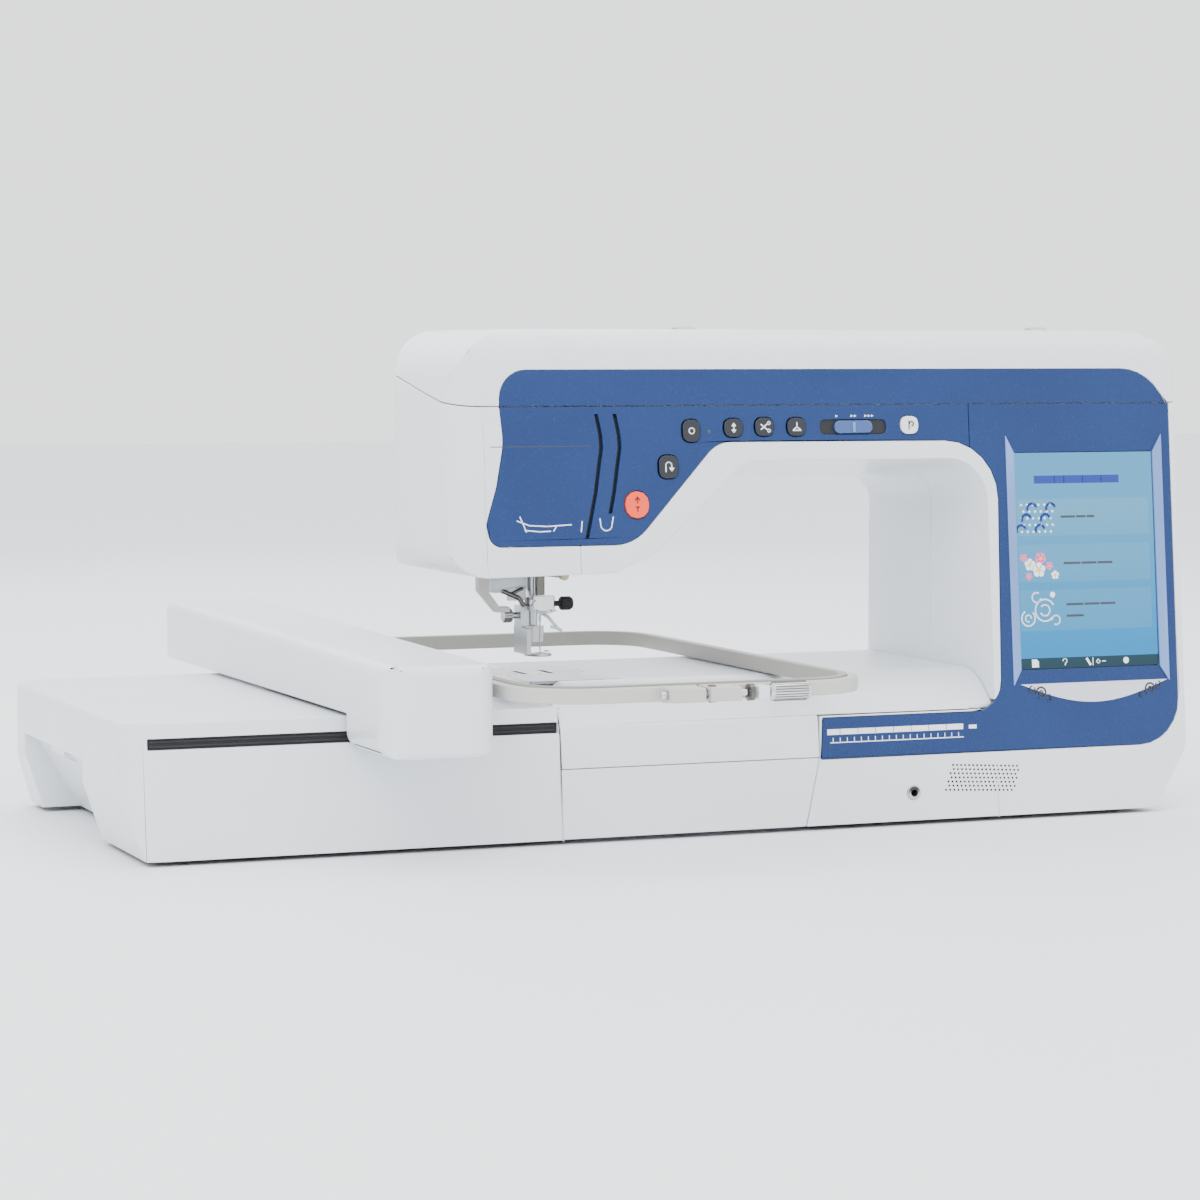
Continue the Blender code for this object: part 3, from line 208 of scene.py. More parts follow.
# Nickel-chrome plate over a turned screw: bright and even.
chromeLook = {"colour": "#D8DADC", "tint": "#C9CBCE", "metallic": 1.0, "roughness": (0.07, 0.14),
              "grainMm": 0.7,
              "bump": 0.04, "cloudMm": 15}
# Moulded nitrile belt and pads: matt black with dust in the grain.
rubberLook = {"colour": "#17181A", "tint": "#222326", "roughness": (0.65, 0.82), "grainMm": 0.7, "bump": 0.4,
              "depthMm": 0.1}
# Fibreglass board under green solder lacquer, blotched by the copper below.
boardLook = {"colour": "#0F5A33", "tint": "#1E7A48", "roughness": (0.25, 0.4), "grainMm": 1.5, "bump": 0.3,
             "cloudMm": 4, "sockets": coated}
# Screen print in opaque ink: flat, slightly raised and a little uneven.
whiteInkLook = {"colour": "#F2F5F7", "tint": "#E4E9EC", "roughness": (0.4, 0.5), "grainMm": 0.3, "bump": 0.1}
blueInkLook = {"colour": "#0A3390", "tint": "#0A2E84", "roughness": (0.3, 0.4), "grainMm": 0.3, "bump": 0.05}
pinkInkLook = {"colour": "#F06AAC", "tint": "#EA5AA0", "roughness": (0.3, 0.4), "grainMm": 0.3, "bump": 0.05}
yellowInkLook = {"colour": "#F8C820", "tint": "#F0BC18", "roughness": (0.3, 0.4), "grainMm": 0.3,
                 "bump": 0.05}
redInkLook = {"colour": "#6A0A04", "tint": "#5A0803", "roughness": (0.3, 0.4), "grainMm": 0.3, "bump": 0.05}
# Dark grey ink for the printed marks; drawn along the fascia's crease, the same ink is painted shade.
darkInkAndCreaseShadeLook = {"colour": "#3A3D46", "tint": "#30333B", "roughness": (0.35, 0.45), "grainMm": 0.3,
               "bump": 0.08}
# Brushed silver foil on the plaque and trims: pale lavender with fine cross lines.
foilLook = {"colour": "#DAD9E4", "tint": "#CBCAD6", "metallic": 0.35, "roughness": (0.25, 0.38),
            "grainMm": 0.3,
            "bump": 0.1, "stretch": (0.2, 1, 1)}
# Pale blue trim: on the fins beside the display it is a painted highlight for the light along the fascia's
# raised ridges; it also colours the slider's rib.
paleTrimAndRidgeHighlightLook = {"colour": "#7C98CC", "tint": "#6685BE", "metallic": 0.5, "roughness": (0.16, 0.26),
           "grainMm": 0.4,
           "bump": 0.05, "sockets": coated}
brassLook = {"colour": "#C9A64E", "tint": "#B8943F", "metallic": 1.0, "roughness": (0.2, 0.35),
             "grainMm": 0.5,
             "bump": 0.1}
clearSockets = {"Transmission Weight": 0.75, "IOR": 1.49, "Alpha": 1.0}
clearLook = {"colour": "#E9F0F3", "tint": "#DDE6EB", "roughness": (0.06, 0.14), "grainMm": 2.0, "bump": 0.02,
             "sockets": clearSockets}
knobLook = {"colour": "#2A5CA8", "tint": "#3668B4", "roughness": (0.08, 0.16), "grainMm": 1.0, "bump": 0.03,
            "sockets": {"Transmission Weight": 0.45, "IOR": 1.5, "Coat Weight": 0.8, "Coat Roughness": 0.04}}
ledLook = {"colour": "#31464B", "tint": "#2A3C42", "roughness": (0.1, 0.2), "grainMm": 1.0, "bump": 0.02,
           "sockets": coated}
lacquerLook = {"colour": "#19366A", "tint": "#132C5C", "fleck": "#2F5296", "flakeMm": 0.6, "flakeCore": 0.35,
               "flakeRarity": 0.95, "cloudMm": 70,
               "sockets": {"Metallic": 0.1, "Specular IOR Level": 0.2,
                           "Coat Weight": 0.3, "Coat Roughness": 0.06}}
screenSockets = {"Base Color": linear("#061826"), "Roughness": 0.2, "Specular IOR Level": 0.2,
                 "Coat Weight": 0.25, "Coat Roughness": 0.03, "Emission Strength": 1.1}
screenLook = {"bottom": "#00A6F4", "top": "#62C0F8", "low": 110, "high": 200, "grainMm": 1.2,
              "sockets": screenSockets}
bandLook = {"bottom": "#48B6F4", "top": "#78CAF8", "low": 122, "high": 208, "grainMm": 1.2,
            "sockets": screenSockets}
toolbarLook = {"bottom": "#0E4650", "top": "#125460", "low": 96, "high": 106, "grainMm": 1.0,
               "sockets": {**screenSockets, "Emission Strength": 0.7}}

bezelLook = {**blackAndOpeningShadeLook, "roughness": (0.05, 0.1), "bump": 0.02}

# Each finish: its material and the record's slot it belongs to.
finishes = {
    "shell": (grained("whiteShellMouldedAbs", shellLook), "white_shell"),
    "lacquer": (flakeLacquer("blueFlakeLacquer", lacquerLook), "blue_fascia"),
    "grey": (grained("greySatinMoulding", greyLook), "grey_plastic"),
    "hoop": (grained("hoopMouldedGrey", hoopLook), "hoop_plastic"),
    "hoopInner": (grained("hoopInnerMouldedGrey", hoopInnerLook), "hoop_plastic"),
    "beige": (grained("beigeAcetalMoulding", beigeLook), "grey_plastic"),
    "dark": (grained("darkNylonMoulding", darkLook), "dark_plastic"),
    "black": (grained("blackMouldingAndOpeningShade", blackAndOpeningShadeLook), "dark_plastic"),
    "key": (grained("navyKeyMoulding", keyLook), "button_keys"),
    "start": (grained("orangeKeyLitMoulding", startLook), "start_key"),
    "knob": (grained("blueTintedAcrylic", knobLook), "slider_knob"),
    "glass": (grained("displayBezelGlass", bezelLook), "screen_glass"),
    "screen": (litPicture("displayLitBlue", screenLook), "screen_glass"),
    "band": (litPicture("displayLitPanel", bandLook), "screen_glass"),
    "toolbar": (litPicture("displayLitToolbar", toolbarLook), "screen_glass"),
    "board": (grained("boardGreenSolderLacquer", boardLook), "circuit_board"),
    "cast": (grained("castAluminium", castLook), "castings"),
    "steel": (grained("polishedSteel", steelLook), "steel"),
    "darkSteel": (grained("blackenedSteel", darkSteelLook), "steel"),
    "chrome": (grained("nickelChromePlate", chromeLook), "steel"),
    "rubber": (grained("mouldedNitrileRubber", rubberLook), "belt_rubber"),
    "clear": (grained("clearPolycarbonate", clearLook), "clear_plastic"),
    "whiteInk": (grained("whiteScreenPrint", whiteInkLook), "white_shell"),
    "blueInk": (grained("blueScreenPrint", blueInkLook), "screen_glass"),
    "pinkInk": (grained("pinkPetalPrint", pinkInkLook), "screen_glass"),
    "yellowInk": (grained("yellowPetalPrint", yellowInkLook), "screen_glass"),
    "redInk": (grained("darkRedPrint", redInkLook), "start_key"),
    "darkInk": (grained("darkScreenPrintAndCreaseShade", darkInkAndCreaseShadeLook), "button_keys"),
    "foil": (grained("brushedSilverFoil", foilLook), "grey_plastic"),
    "fin": (grained("paleBlueTrimAndRidgeHighlight", paleTrimAndRidgeHighlightLook), "blue_fascia"),
    "brass": (grained("brassContactPin", brassLook), "steel"),
    "led": (grained("smokedLampLens", ledLook), "clear_plastic"),
}
print("materials made:", len(finishes))


# Shared modelling steps

def makePiece(name, bm, finish, body, place=toWorld, sharpDeg=38):
    bmesh.ops.remove_doubles(bm, verts=bm.verts, dist=0.0005)
    bmesh.ops.recalc_face_normals(bm, faces=bm.faces)
    bmesh.ops.transform(bm, matrix=place, verts=bm.verts)
    mesh = bpy.data.meshes.new(name)
    bm.to_mesh(mesh)
    bm.free()
    piece = bpy.data.objects.new(name, mesh)
    scene.collection.objects.link(piece)
    mesh.shade_smooth()
    mesh.set_sharp_from_angle(angle=math.radians(sharpDeg))
    material, slotName = finishes[finish]
    mesh.materials.append(material)
    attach(piece, body)
    return piece


def roundEdges(bm, edges, width, segments=2):
    bmesh.ops.bevel(bm, geom=edges, offset=width, offset_type="OFFSET", segments=segments, profile=0.5,
                    affect="EDGES", clamp_overlap=True, material=-1)


def addBox(bm, low, high, edge=0.0):
    size = Vector(high) - Vector(low)
    middle = (Vector(high) + Vector(low)) / 2
    made = bmesh.ops.create_cube(bm, size=1, matrix=Matrix.Translation(middle) @ Matrix.Diagonal((*size, 1)))
    if edge:
        roundEdges(bm, list({e for v in made["verts"] for e in v.link_edges}), edge)


def addRod(bm, start, end, radius, tip=None, sides=24, edge=0.0):
    start, end = Vector(start), Vector(end)
    run = end - start
    place = Matrix.Translation((start + end) / 2) @ run.to_track_quat("Z", "Y").to_matrix().to_4x4()
    made = bmesh.ops.create_cone(bm, cap_ends=True, segments=sides, radius1=radius,
                                 radius2=radius if tip is None else tip, depth=run.length, matrix=place)
    if edge:
        caps = {f for v in made["verts"] for f in v.link_faces if len(f.verts) == sides}
        roundEdges(bm, list({e for f in caps for e in f.edges}), edge)


def axisFrame(point, axis="Z"):
    turns = {"X": Matrix.Rotation(math.pi / 2, 4, "Y"), "Y": Matrix.Rotation(-math.pi / 2, 4, "X")}
    return Matrix.Translation(point) @ turns.get(axis, Matrix.Identity(4))


def addTurned(bm, profile, point, axis="Z", steps=40):
    verts = [bm.verts.new((radius, 0, height)) for radius, height in profile]
    edges = [bm.edges.new((verts[i], verts[i + 1])) for i in range(len(verts) - 1)]
    before = set(bm.verts) - set(verts)
    bmesh.ops.spin(bm, geom=verts + edges, cent=(0, 0, 0), axis=(0, 0, 1), angle=2 * math.pi, steps=steps,
                   use_merge=True)
    made = [v for v in bm.verts if v not in before]
    bmesh.ops.transform(bm, matrix=axisFrame(point, axis), verts=made)


def addRing(bm, radius, wire, point, axis="Z", steps=32, sides=10):
    turns = [2 * math.pi * side / sides for side in range(sides + 1)]
    addTurned(bm, [(radius + wire * math.cos(t), wire * math.sin(t)) for t in turns], point, axis, steps)


def roundedFace(bm, corners, depth, segments=6):
    # corners are (x, z, radius) seen from the front
    verts = [bm.verts.new((x, depth, z)) for x, z, _ in corners]
    before = set(bm.verts) - set(verts)
    bm.faces.new(verts)
    for vert, (_, _, radius) in zip(verts, corners):
        if radius:
            bmesh.ops.bevel(bm, geom=[vert], offset=radius, offset_type="OFFSET", segments=segments,
                            profile=0.5, affect="VERTICES", material=-1)
    fresh = [v for v in bm.verts if v not in before]
    return max({f for v in fresh for f in v.link_faces}, key=lambda f: f.calc_area())


def pushOut(bm, made, shift):
    verts = [g for g in made if isinstance(g, bmesh.types.BMVert)]
    bmesh.ops.translate(bm, vec=(0, shift, 0), verts=verts)


def addPlate(bm, corners, front, back, edge=0.0, segments=6):
    face = roundedFace(bm, corners, back, segments)
    made = bmesh.ops.extrude_face_region(bm, geom=[face])["geom"]
    pushOut(bm, made, front - back)
    top = next(g for g in made if isinstance(g, bmesh.types.BMFace))
    if edge:
        roundEdges(bm, list(top.edges), edge)


def rectCorners(left, right, low, high, radius=0.0):
    return [(left, low, radius), (right, low, radius), (right, high, radius), (left, high, radius)]


def addRim(bm, corners, band, front, back):
    # a flat frame: the outline's face is inset and its middle taken away
    face = roundedFace(bm, corners, back)
    bmesh.ops.inset_region(bm, faces=[face], thickness=band, use_even_offset=True)
    rim = [f for f in bm.faces if f is not face and abs(f.calc_center_median().y - back) < 1e-4
           and any(v in face.verts for v in f.verts)]
    bmesh.ops.delete(bm, geom=[face], context="FACES_ONLY")
    made = bmesh.ops.extrude_face_region(bm, geom=rim)["geom"]
    pushOut(bm, made, front - back)


def addStroke(bm, points, width, front, back):
    # a printed line through (x, z) points, drawn as a strip with square ends
    for (x0, z0), (x1, z1) in zip(points, points[1:]):
        along = Vector((x1 - x0, z1 - z0))
        side = Vector((-along.y, along.x)).normalized() * width / 2
        reach = along.normalized() * width / 4
        start, end = Vector((x0, z0)) - reach, Vector((x1, z1)) + reach
        corners = [(*(start - side), 0), (*(end - side), 0), (*(end + side), 0), (*(start + side), 0)]
        addPlate(bm, corners, front, back)


def arcPoints(x, z, radius, startDeg, endDeg, steps=10):
    turns = [math.radians(startDeg + (endDeg - startDeg) * step / steps) for step in range(steps + 1)]
    return [(x + radius * math.cos(t), z + radius * math.sin(t)) for t in turns]


def ringSpots(x, z, radius, count, firstDeg=0):
    turns = [math.radians(firstDeg + 360 * step / count) for step in range(count)]
    return [(x + radius * math.cos(t), z + radius * math.sin(t)) for t in turns]


def addDot(bm, x, z, radius, front, back, sides=20):
    addRod(bm, (x, back, z), (x, front, z), radius, sides=sides)


def addRibs(bm, ribs, y, z, sides=6):
    # ribs along X, spaced round a knob's axis at (y, z)
    for ribY, ribZ in ringSpots(y, z, ribs["radius"], ribs["count"]):
        addRod(bm, (ribs["start"], ribY, ribZ), (ribs["end"], ribY, ribZ), ribs["thickness"], sides=sides)


def addWire(bm, points, radius, sides=10):
    for start, end in zip(points, points[1:]):
        addRod(bm, start, end, radius, sides=sides)


def finishNode(node, finish, edge):
    # The CAD solid, welded, its flat stretches made whole and its edges given their moulded radius.
    source = frame["nodes"][node]
    bm = bmesh.new()
    bm.from_mesh(source.data)
    bmesh.ops.remove_doubles(bm, verts=bm.verts, dist=0.00007 if node in steppedNodes else 0.000002)
    bmesh.ops.dissolve_limit(bm, angle_limit=math.radians(0.03), verts=bm.verts, edges=bm.edges)
    if finish in ("shell", "lacquer"):
        wide = [f for f in bm.faces if len(f.verts) > 4]
        bmesh.ops.triangulate(bm, faces=wide, quad_method="BEAUTY", ngon_method="BEAUTY")
    mesh = bpy.data.meshes.new(node + "_finished")
    bm.to_mesh(mesh)
    bm.free()
    piece = bpy.data.objects.new(node + "_finished", mesh)
    scene.collection.objects.link(piece)
    mesh.shade_smooth()
    rounding = piece.modifiers.new("edges", "BEVEL")
    rounding.width = edge * mm
    rounding.segments = 2
    rounding.limit_method = "ANGLE"
    rounding.angle_limit = math.radians(32)
    rounding.use_clamp_overlap = False
    weighting = piece.modifiers.new("normals", "WEIGHTED_NORMAL")
    weighting.keep_sharp = True
    weighting.weight = 80
    material, slotName = finishes[finish]
    mesh.materials.clear()
    mesh.materials.append(material)
    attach(piece, source["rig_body"])
    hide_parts(node)
    return piece


steppedNodes = ("unit_cover", "front_cover")  # joined from parts that meet 0.05 mm apart
# The CAD pieces, each with its finish and the radius of its edges in millimetres
nodeFinishes = {
    "shell": {"front_cover": 0.7, "rear_cover": 0.7, "face_cover": 0.7, "lid": 0.7, "bed_cover": 0.7,
              "unit_cover": 0.8, "carriage_cover": 0.9, "spool_tray": 0.4, "handwheel": 0.5,
              "threading_button": 0.5, "unit_release": 0.5},
    "lacquer": {"arm_fascia": 0.5, "column_fascia": 0.5, "lid_fascia": 0.35},
    "grey": {"carry_handle": 1.2, "needle_threader": 0.5, "spool_pin": 0.2, "hoop_holder": 0.5},
    "hoop": {"hoop_outer": 0.9},
    "hoopInner": {"hoop_inner": 0.8},
    "dark": {"base_pan": 0.3, "unit_base": 0.3, "presser_lifter": 0.8, "bobbin_case": 0.2,
             "bobbin_winder": 0.2, "speaker": 0.3, "headphone_jack": 0.3,
             "power_inlet": 0.4, "power_switch": 0.4},
    "key": {"reverse_button": 0.5, "reinforcement_button": 0.5, "needle_position_button": 0.5,
            "thread_cutter_button": 0.5, "presser_foot_button": 0.5},
    "start": {"start_stop_button": 0.6},
    "knob": {"speed_slider": 0.6},
    "glass": {"touch_display": 0.2},
    "board": {"control_board": 0.1},
    "cast": {"chassis": 0.6, "main_motor": 0.8, "carriage_base": 0.3},
    "steel": {"upper_shaft": 0.3, "lower_shaft": 0.3, "motor_pulley": 0.2, "presser_bar": 0.3,
              "needle": 0.05, "take_up_lever": 0.2, "needle_plate": 0.15, "feed_dog": 0.1, "hook": 0.2,
              "x_rail": 0.3, "y_rail": 0.3, "embroidery_foot": 0.3},
    "darkSteel": {"needle_bar": 0.3},
    "chrome": {"needle_clamp": 0.3, "hoop_screw": 0.25},
    "black": {"clamp_screw": 0.2},
    "rubber": {"timing_belt": 0.2},
    "clear": {"bobbin_cover": 0.2, "bobbin": 0.15},
}
for finish, nodes in nodeFinishes.items():
    for node, edge in nodes.items():
        finishNode(node, finish, edge)
print("CAD pieces finished:", sum(len(nodes) for nodes in nodeFinishes.values()))


# Display picture: menu bands with stitch samples, drawn without wording

bm = bmesh.new()
addPlate(bm, rectCorners(302.4, 405.6, 104.3, 238.6), 0.32, 0.48)
makePiece("display_picture", bm, "screen", "machine", toFront)
bm = bmesh.new()
addPlate(bm, rectCorners(302.4, 405.6, 97.4, 104.3), 0.32, 0.48)
makePiece("display_toolbar", bm, "toolbar", "machine", toFront)

bm = bmesh.new()
menuBands = ((184.2, 208.2), (154.0, 178.4), (122.2, 148.7))
for low, high in menuBands:
    addPlate(bm, rectCorners(303.4, 402.0, low, high, 1.2), 0.24, 0.34)
makePiece("display_bands", bm, "band", "machine", toFront)

ink = {"front": 0.14, "back": 0.26}
captions = {196.5: ((336, 346), (347.5, 354), (355.5, 360.5)), 166: ((337, 349), (350.5, 361), (362.5, 373)),
            139: ((338, 350), (351.5, 362), (363.5, 374)), 131.5: ((338, 350),)}
bm = bmesh.new()
for z, dashes in captions.items():
    for left, right in dashes:
        addStroke(bm, [(left, z), (right, z)], 1.5, **ink)
makePiece("display_stitch_lines", bm, "darkInk", "machine", toFront)
bm = bmesh.new()
for left, right in ((318, 331), (333, 338), (340, 352), (354, 366), (368, 379)):
    addStroke(bm, [(left, 221), (right, 221)], 5.2, **ink)
braids = {"starts": (306, 320), "waves": 3}
for start in braids["starts"]:
    for wave in range(braids["waves"]):
        x, z = start + wave * 4.2, 188 + wave * 7
        addStroke(bm, arcPoints(x, z, 3.4, 200 if wave % 2 else 20, 20 if wave % 2 else 200, 8), 1.7, **ink)
makePiece("display_blue_marks", bm, "blueInk", "machine", toFront)

bm = bmesh.new()
for row in range(5):
    for column in range(6):
        x, z = 306.5 + 4.3 * column + 1.6 * (row % 2), 187 + 4.4 * row
        addDot(bm, x, z, 0.8, **ink)
scrolls = ((321.5, 135.5, 7.2, 30), (321.5, 135.5, 3.6, 210), (309, 130.5, 5.0, 120), (309, 130.5, 2.2, 0),
           (315.5, 144, 3.2, 60), (329.5, 129, 3.0, 250))
for x, z, radius, turn in scrolls:
    addStroke(bm, arcPoints(x, z, radius, turn, turn + 285, 14), 0.9, **ink)
addDot(bm, 327.5, 145.6, 1.9, **ink)
flowers = {
    "white": ((318, 162, 4.4), (311.5, 165.5, 3.6), (330, 158.5, 2.6)),
    "pink": ((319.5, 169.5, 3.6), (307, 170, 2.4), (310.5, 157.8, 2.2), (326, 164.5, 2.4)),
}
petals = {"count": 5, "at": 0.62, "size": 0.5}
for x, z, reach in flowers["white"]:
    for spot in ringSpots(x, z, reach * petals["at"], petals["count"], 90):
        addDot(bm, *spot, reach * petals["size"], 0.08, 0.26)
makePiece("display_white_marks", bm, "whiteInk", "machine", toFront)
bm = bmesh.new()
for x, z, reach in flowers["pink"]:
    for spot in ringSpots(x, z, reach * petals["at"], petals["count"], 54):
        addDot(bm, *spot, reach * petals["size"], 0.11, 0.26)
makePiece("display_pink_flowers", bm, "pinkInk", "machine", toFront)
bm = bmesh.new()
for x, z, reach in flowers["white"] + flowers["pink"]:
    addDot(bm, x, z, reach * 0.3, 0.04, 0.26)
makePiece("display_flower_centres", bm, "yellowInk", "machine", toFront)

toolInk = {"front": 0.14, "back": 0.33}
bm = bmesh.new()
page = [(310.5, 98.4, 0), (315.5, 98.4, 0), (315.5, 102.2, 0), (314, 103.6, 0), (310.5, 103.6, 0)]
addPlate(bm, page, **toolInk)
addStroke(bm, arcPoints(335, 102, 1.5, 180, -60), 0.6, **toolInk)
addStroke(bm, [(335.5, 100.8), (335.1, 99.2)], 0.6, **toolInk)
addStroke(bm, [(351.5, 103), (354, 99)], 1.6, **toolInk)
addStroke(bm, [(356, 103.4), (356, 98.6)], 0.5, **toolInk)
addStroke(bm, [(358.5, 101), (360, 102.4), (361.5, 101), (360, 99.6), (358.5, 101)], 0.5, **toolInk)
addStroke(bm, [(363, 101), (365.5, 101)], 0.6, **toolInk)
addDot(bm, 381, 101, 2.1, **toolInk)
makePiece("display_tool_marks", bm, "whiteInk", "machine", toFront)
print("display drawn")


# Trim fins beside the display, the plaque below it, the ruler and the speaker holes

# The fins' pale blue is a painted highlight along the fascia's raised ridges beside the display.
bm = bmesh.new()
addPlate(bm, [(302.2, 97, 0), (302.2, 239, 0), (296.2, 250.6, 1), (296.2, 86.4, 1)], -0.5, 0.5, 0.35)
makePiece("trim_fin_left", bm, "fin", "machine", toFront)
bm = bmesh.new()
addPlate(bm, [(406, 97, 0), (406, 239, 0), (413, 250.6, 1), (413, 86.4, 1)], -1.2, 0.5, 0.5)
makePiece("trim_fin_right", bm, "fin", "machine", toFront)

plaque = {"left": 301, "right": 412, "top": 87.7, "sag": 13.2}
bm = bmesh.new()
width = plaque["right"] - plaque["left"]
sweep = [(plaque["left"] + width * step / 16, plaque["top"] - plaque["sag"] * math.sin(math.pi * step / 16))
         for step in range(1, 16)]
outline = [(plaque["left"], plaque["top"]), *sweep, (plaque["right"], plaque["top"])]
crescent = [(x, z, 0) for x, z in outline]
addPlate(bm, crescent, -0.5, 0.3, 0.25)
makePiece("plaque", bm, "foil", "machine", toFront)
bm = bmesh.new()
for centre, side in ((316, 1), (398, -1)):
    addStroke(bm, arcPoints(centre, 82.0, 3.4, 250, 250 + 300 * side, 14), 1.2, -0.58, -0.4)
    addStroke(bm, arcPoints(centre, 82.0, 1.2, 0, 360, 8), 0.9, -0.58, -0.4)
    addStroke(bm, arcPoints(centre - 6.4 * side, 84.4, 2.0, 90, 90 + 300 * side), 0.9, -0.58, -0.4)
    addStroke(bm, arcPoints(centre + 5.6 * side, 78.4, 2.0, 90, 90 - 200 * side), 0.9, -0.58, -0.4)
makePiece("plaque_scrolls", bm, "darkInk", "machine", toFront)

ruler = {"left": 160.5, "right": 258.0, "low": 57.0, "high": 64.0, "stepMm": 5.0}
bm = bmesh.new()
addPlate(bm, rectCorners(ruler["left"], ruler["right"], ruler["low"] + 3.4, ruler["high"]), -0.12, 0.1)
tick = ruler["left"] + 4
while tick < ruler["right"]:
    addStroke(bm, [(tick, ruler["low"] - 1.4), (tick, ruler["low"] + 1.4)], 0.5, -0.12, 0.1)
    tick += ruler["stepMm"]
baseLine = [(ruler["left"] + 2, ruler["low"] - 1.6), (ruler["right"], ruler["low"] - 1.6)]
addStroke(bm, baseLine, 0.6, -0.12, 0.1)
addRim(bm, rectCorners(261, 269, 57, 64, 1.2), 0.7, -0.12, 0.1)
addPlate(bm, rectCorners(262.2, 267.8, 60.6, 63), -0.12, 0.1)
makePiece("ruler_print", bm, "whiteInk", "machine", toFront)
bm = bmesh.new()
tick = ruler["left"] + 9
while tick < ruler["right"]:
    addStroke(bm, [(tick, ruler["low"] + 3.8), (tick, ruler["high"])], 0.4, -0.2, 0.0)
    tick += 2.54 * ruler["stepMm"]
makePiece("ruler_inch_ticks", bm, "darkInk", "machine", toFront)

# Black dots where the speaker holes are: painted shade in the openings.
speakerHoles = {"rows": 7, "columns": 17, "pitchX": 3.05, "radius": 0.75}
bm = bmesh.new()
for row in range(speakerHoles["rows"]):
    share = row / (speakerHoles["rows"] - 1)
    left = Vector((249.7, 37.6)).lerp((244, 21.8), share)
    right = Vector((299.4, 34.8)).lerp((295, 19.4), share)
    for column in range(speakerHoles["columns"]):
        spot = left.lerp(right, (column + 0.5 * (row % 2)) / speakerHoles["columns"])
        addDot(bm, spot.x, spot.y, speakerHoles["radius"], -0.04, 0.4, 12)
makePiece("speaker_holes", bm, "black", "machine", toFront)
bm = bmesh.new()
addTurned(bm, [(2.5, 0.9), (2.6, -0.9), (3.3, -1.1), (4.3, -0.7), (4.6, 0.4)], (220.7, 0, 21), "Y")
makePiece("headphone_ring", bm, "grey", "machine", toFront)
print("trim made")


# Keys: the mark printed on each

keyFace = {"front": -1.38, "back": -1.1}
keyMarks = {
    "start_stop_button": {
        "ink": "redInk", "at": (34.5, 209.2),
        "strokes": [[(0, 1.2), (0, 4.4)], [(-1.5, 3), (0, 4.8), (1.5, 3)],
                    [(0, -1.0), (0, -4.0)], [(-1.2, -1.4), (1.2, -1.4)]]},
    "reverse_button": {
        "ink": "whiteInk", "at": (56.5, 232.6),
        "strokes": [[(-2, -3), (-2, 1)], arcPoints(0, 1, 2, 180, 0),
                    [(2, 1), (2, -1.6)], [(0.7, -0.6), (2, -2.4), (3.3, -0.6)]]},
    "reinforcement_button": {
        "ink": "whiteInk", "at": (73, 255.1),
        "strokes": [arcPoints(0, 0, 1.8, 0, 360, 16)]},
    "needle_position_button": {
        "ink": "whiteInk", "at": (102.1, 256.7),
        "strokes": [[(0, -2.2), (0, 2.2)], [(-1.2, 1.2), (0, 2.8), (1.2, 1.2)],
                    [(-1.2, -1.2), (0, -2.8), (1.2, -1.2)]]},
    "thread_cutter_button": {
        "ink": "whiteInk", "at": (123.6, 257.2),
        "strokes": [[(-2.6, -1.6), (2.2, 2.2)], [(-2.6, 1.6), (2.2, -2.2)],
                    arcPoints(2.9, 2.4, 0.9, 0, 360), arcPoints(2.9, -2.4, 0.9, 0, 360)]},
    "presser_foot_button": {
        "ink": "whiteInk", "at": (146.1, 257.0),
        "strokes": [[(0, 2.8), (0, 0)], [(-2.2, -1.6), (0, 0), (2.2, -1.6)], [(-2.8, -2.2), (2.8, -2.2)]]},
    "threading_button": {
        "ink": "darkInk", "at": (226.6, 257.6),
        "strokes": [[(-0.6, 2.8), (-0.6, -2.8)], arcPoints(1.2, 0.8, 1.4, 180, -90)]},
}
for name, mark in keyMarks.items():
    x, z = mark["at"]
    bm = bmesh.new()
    for stroke in mark["strokes"]:
        addStroke(bm, [(x + dx, z + dz) for dx, dz in stroke], 0.75, **keyFace)
    makePiece(name + "_mark", bm, mark["ink"], name, toFront)
bm = bmesh.new()
addTurned(bm, [(0.05, -0.5), (1.0, -0.4), (1.6, 0.3)], (85.4, 0, 254.3), "Y", 24)
makePiece("key_lamp", bm, "led", "machine", toFront)

# Speed slider: a black plate behind its slot as painted shade in the groove, its pale rib and the three
# marks above
bm = bmesh.new()
addPlate(bm, rectCorners(160.5, 212.5, 252.2, 261.2, 3.0), 1.1, 1.9)
makePiece("slider_groove_shade", bm, "black", "machine", toFront)
bm = bmesh.new()
addPlate(bm, rectCorners(185.6, 187.6, 253.4, 260.0, 0.8), -1.6, -0.8, 0.25)
makePiece("slider_rib", bm, "fin", "speed_slider", toFront)
bm = bmesh.new()
for x, count in ((175, 1), (187, 2), (198, 3)):
    for step in range(count):
        left = x + (step - (count - 1) / 2) * 2.4
        addPlate(bm, [(left - 0.9, 262.9, 0), (left + 0.9, 263.7, 0), (left - 0.9, 264.5, 0)], -0.1, 0.1)
makePiece("slider_marks", bm, "whiteInk", "machine", toFront)
print("keys marked")


# Threading path: a black sheet behind the channels as painted shade in them, and the printed guides at the
# arm's lower edge

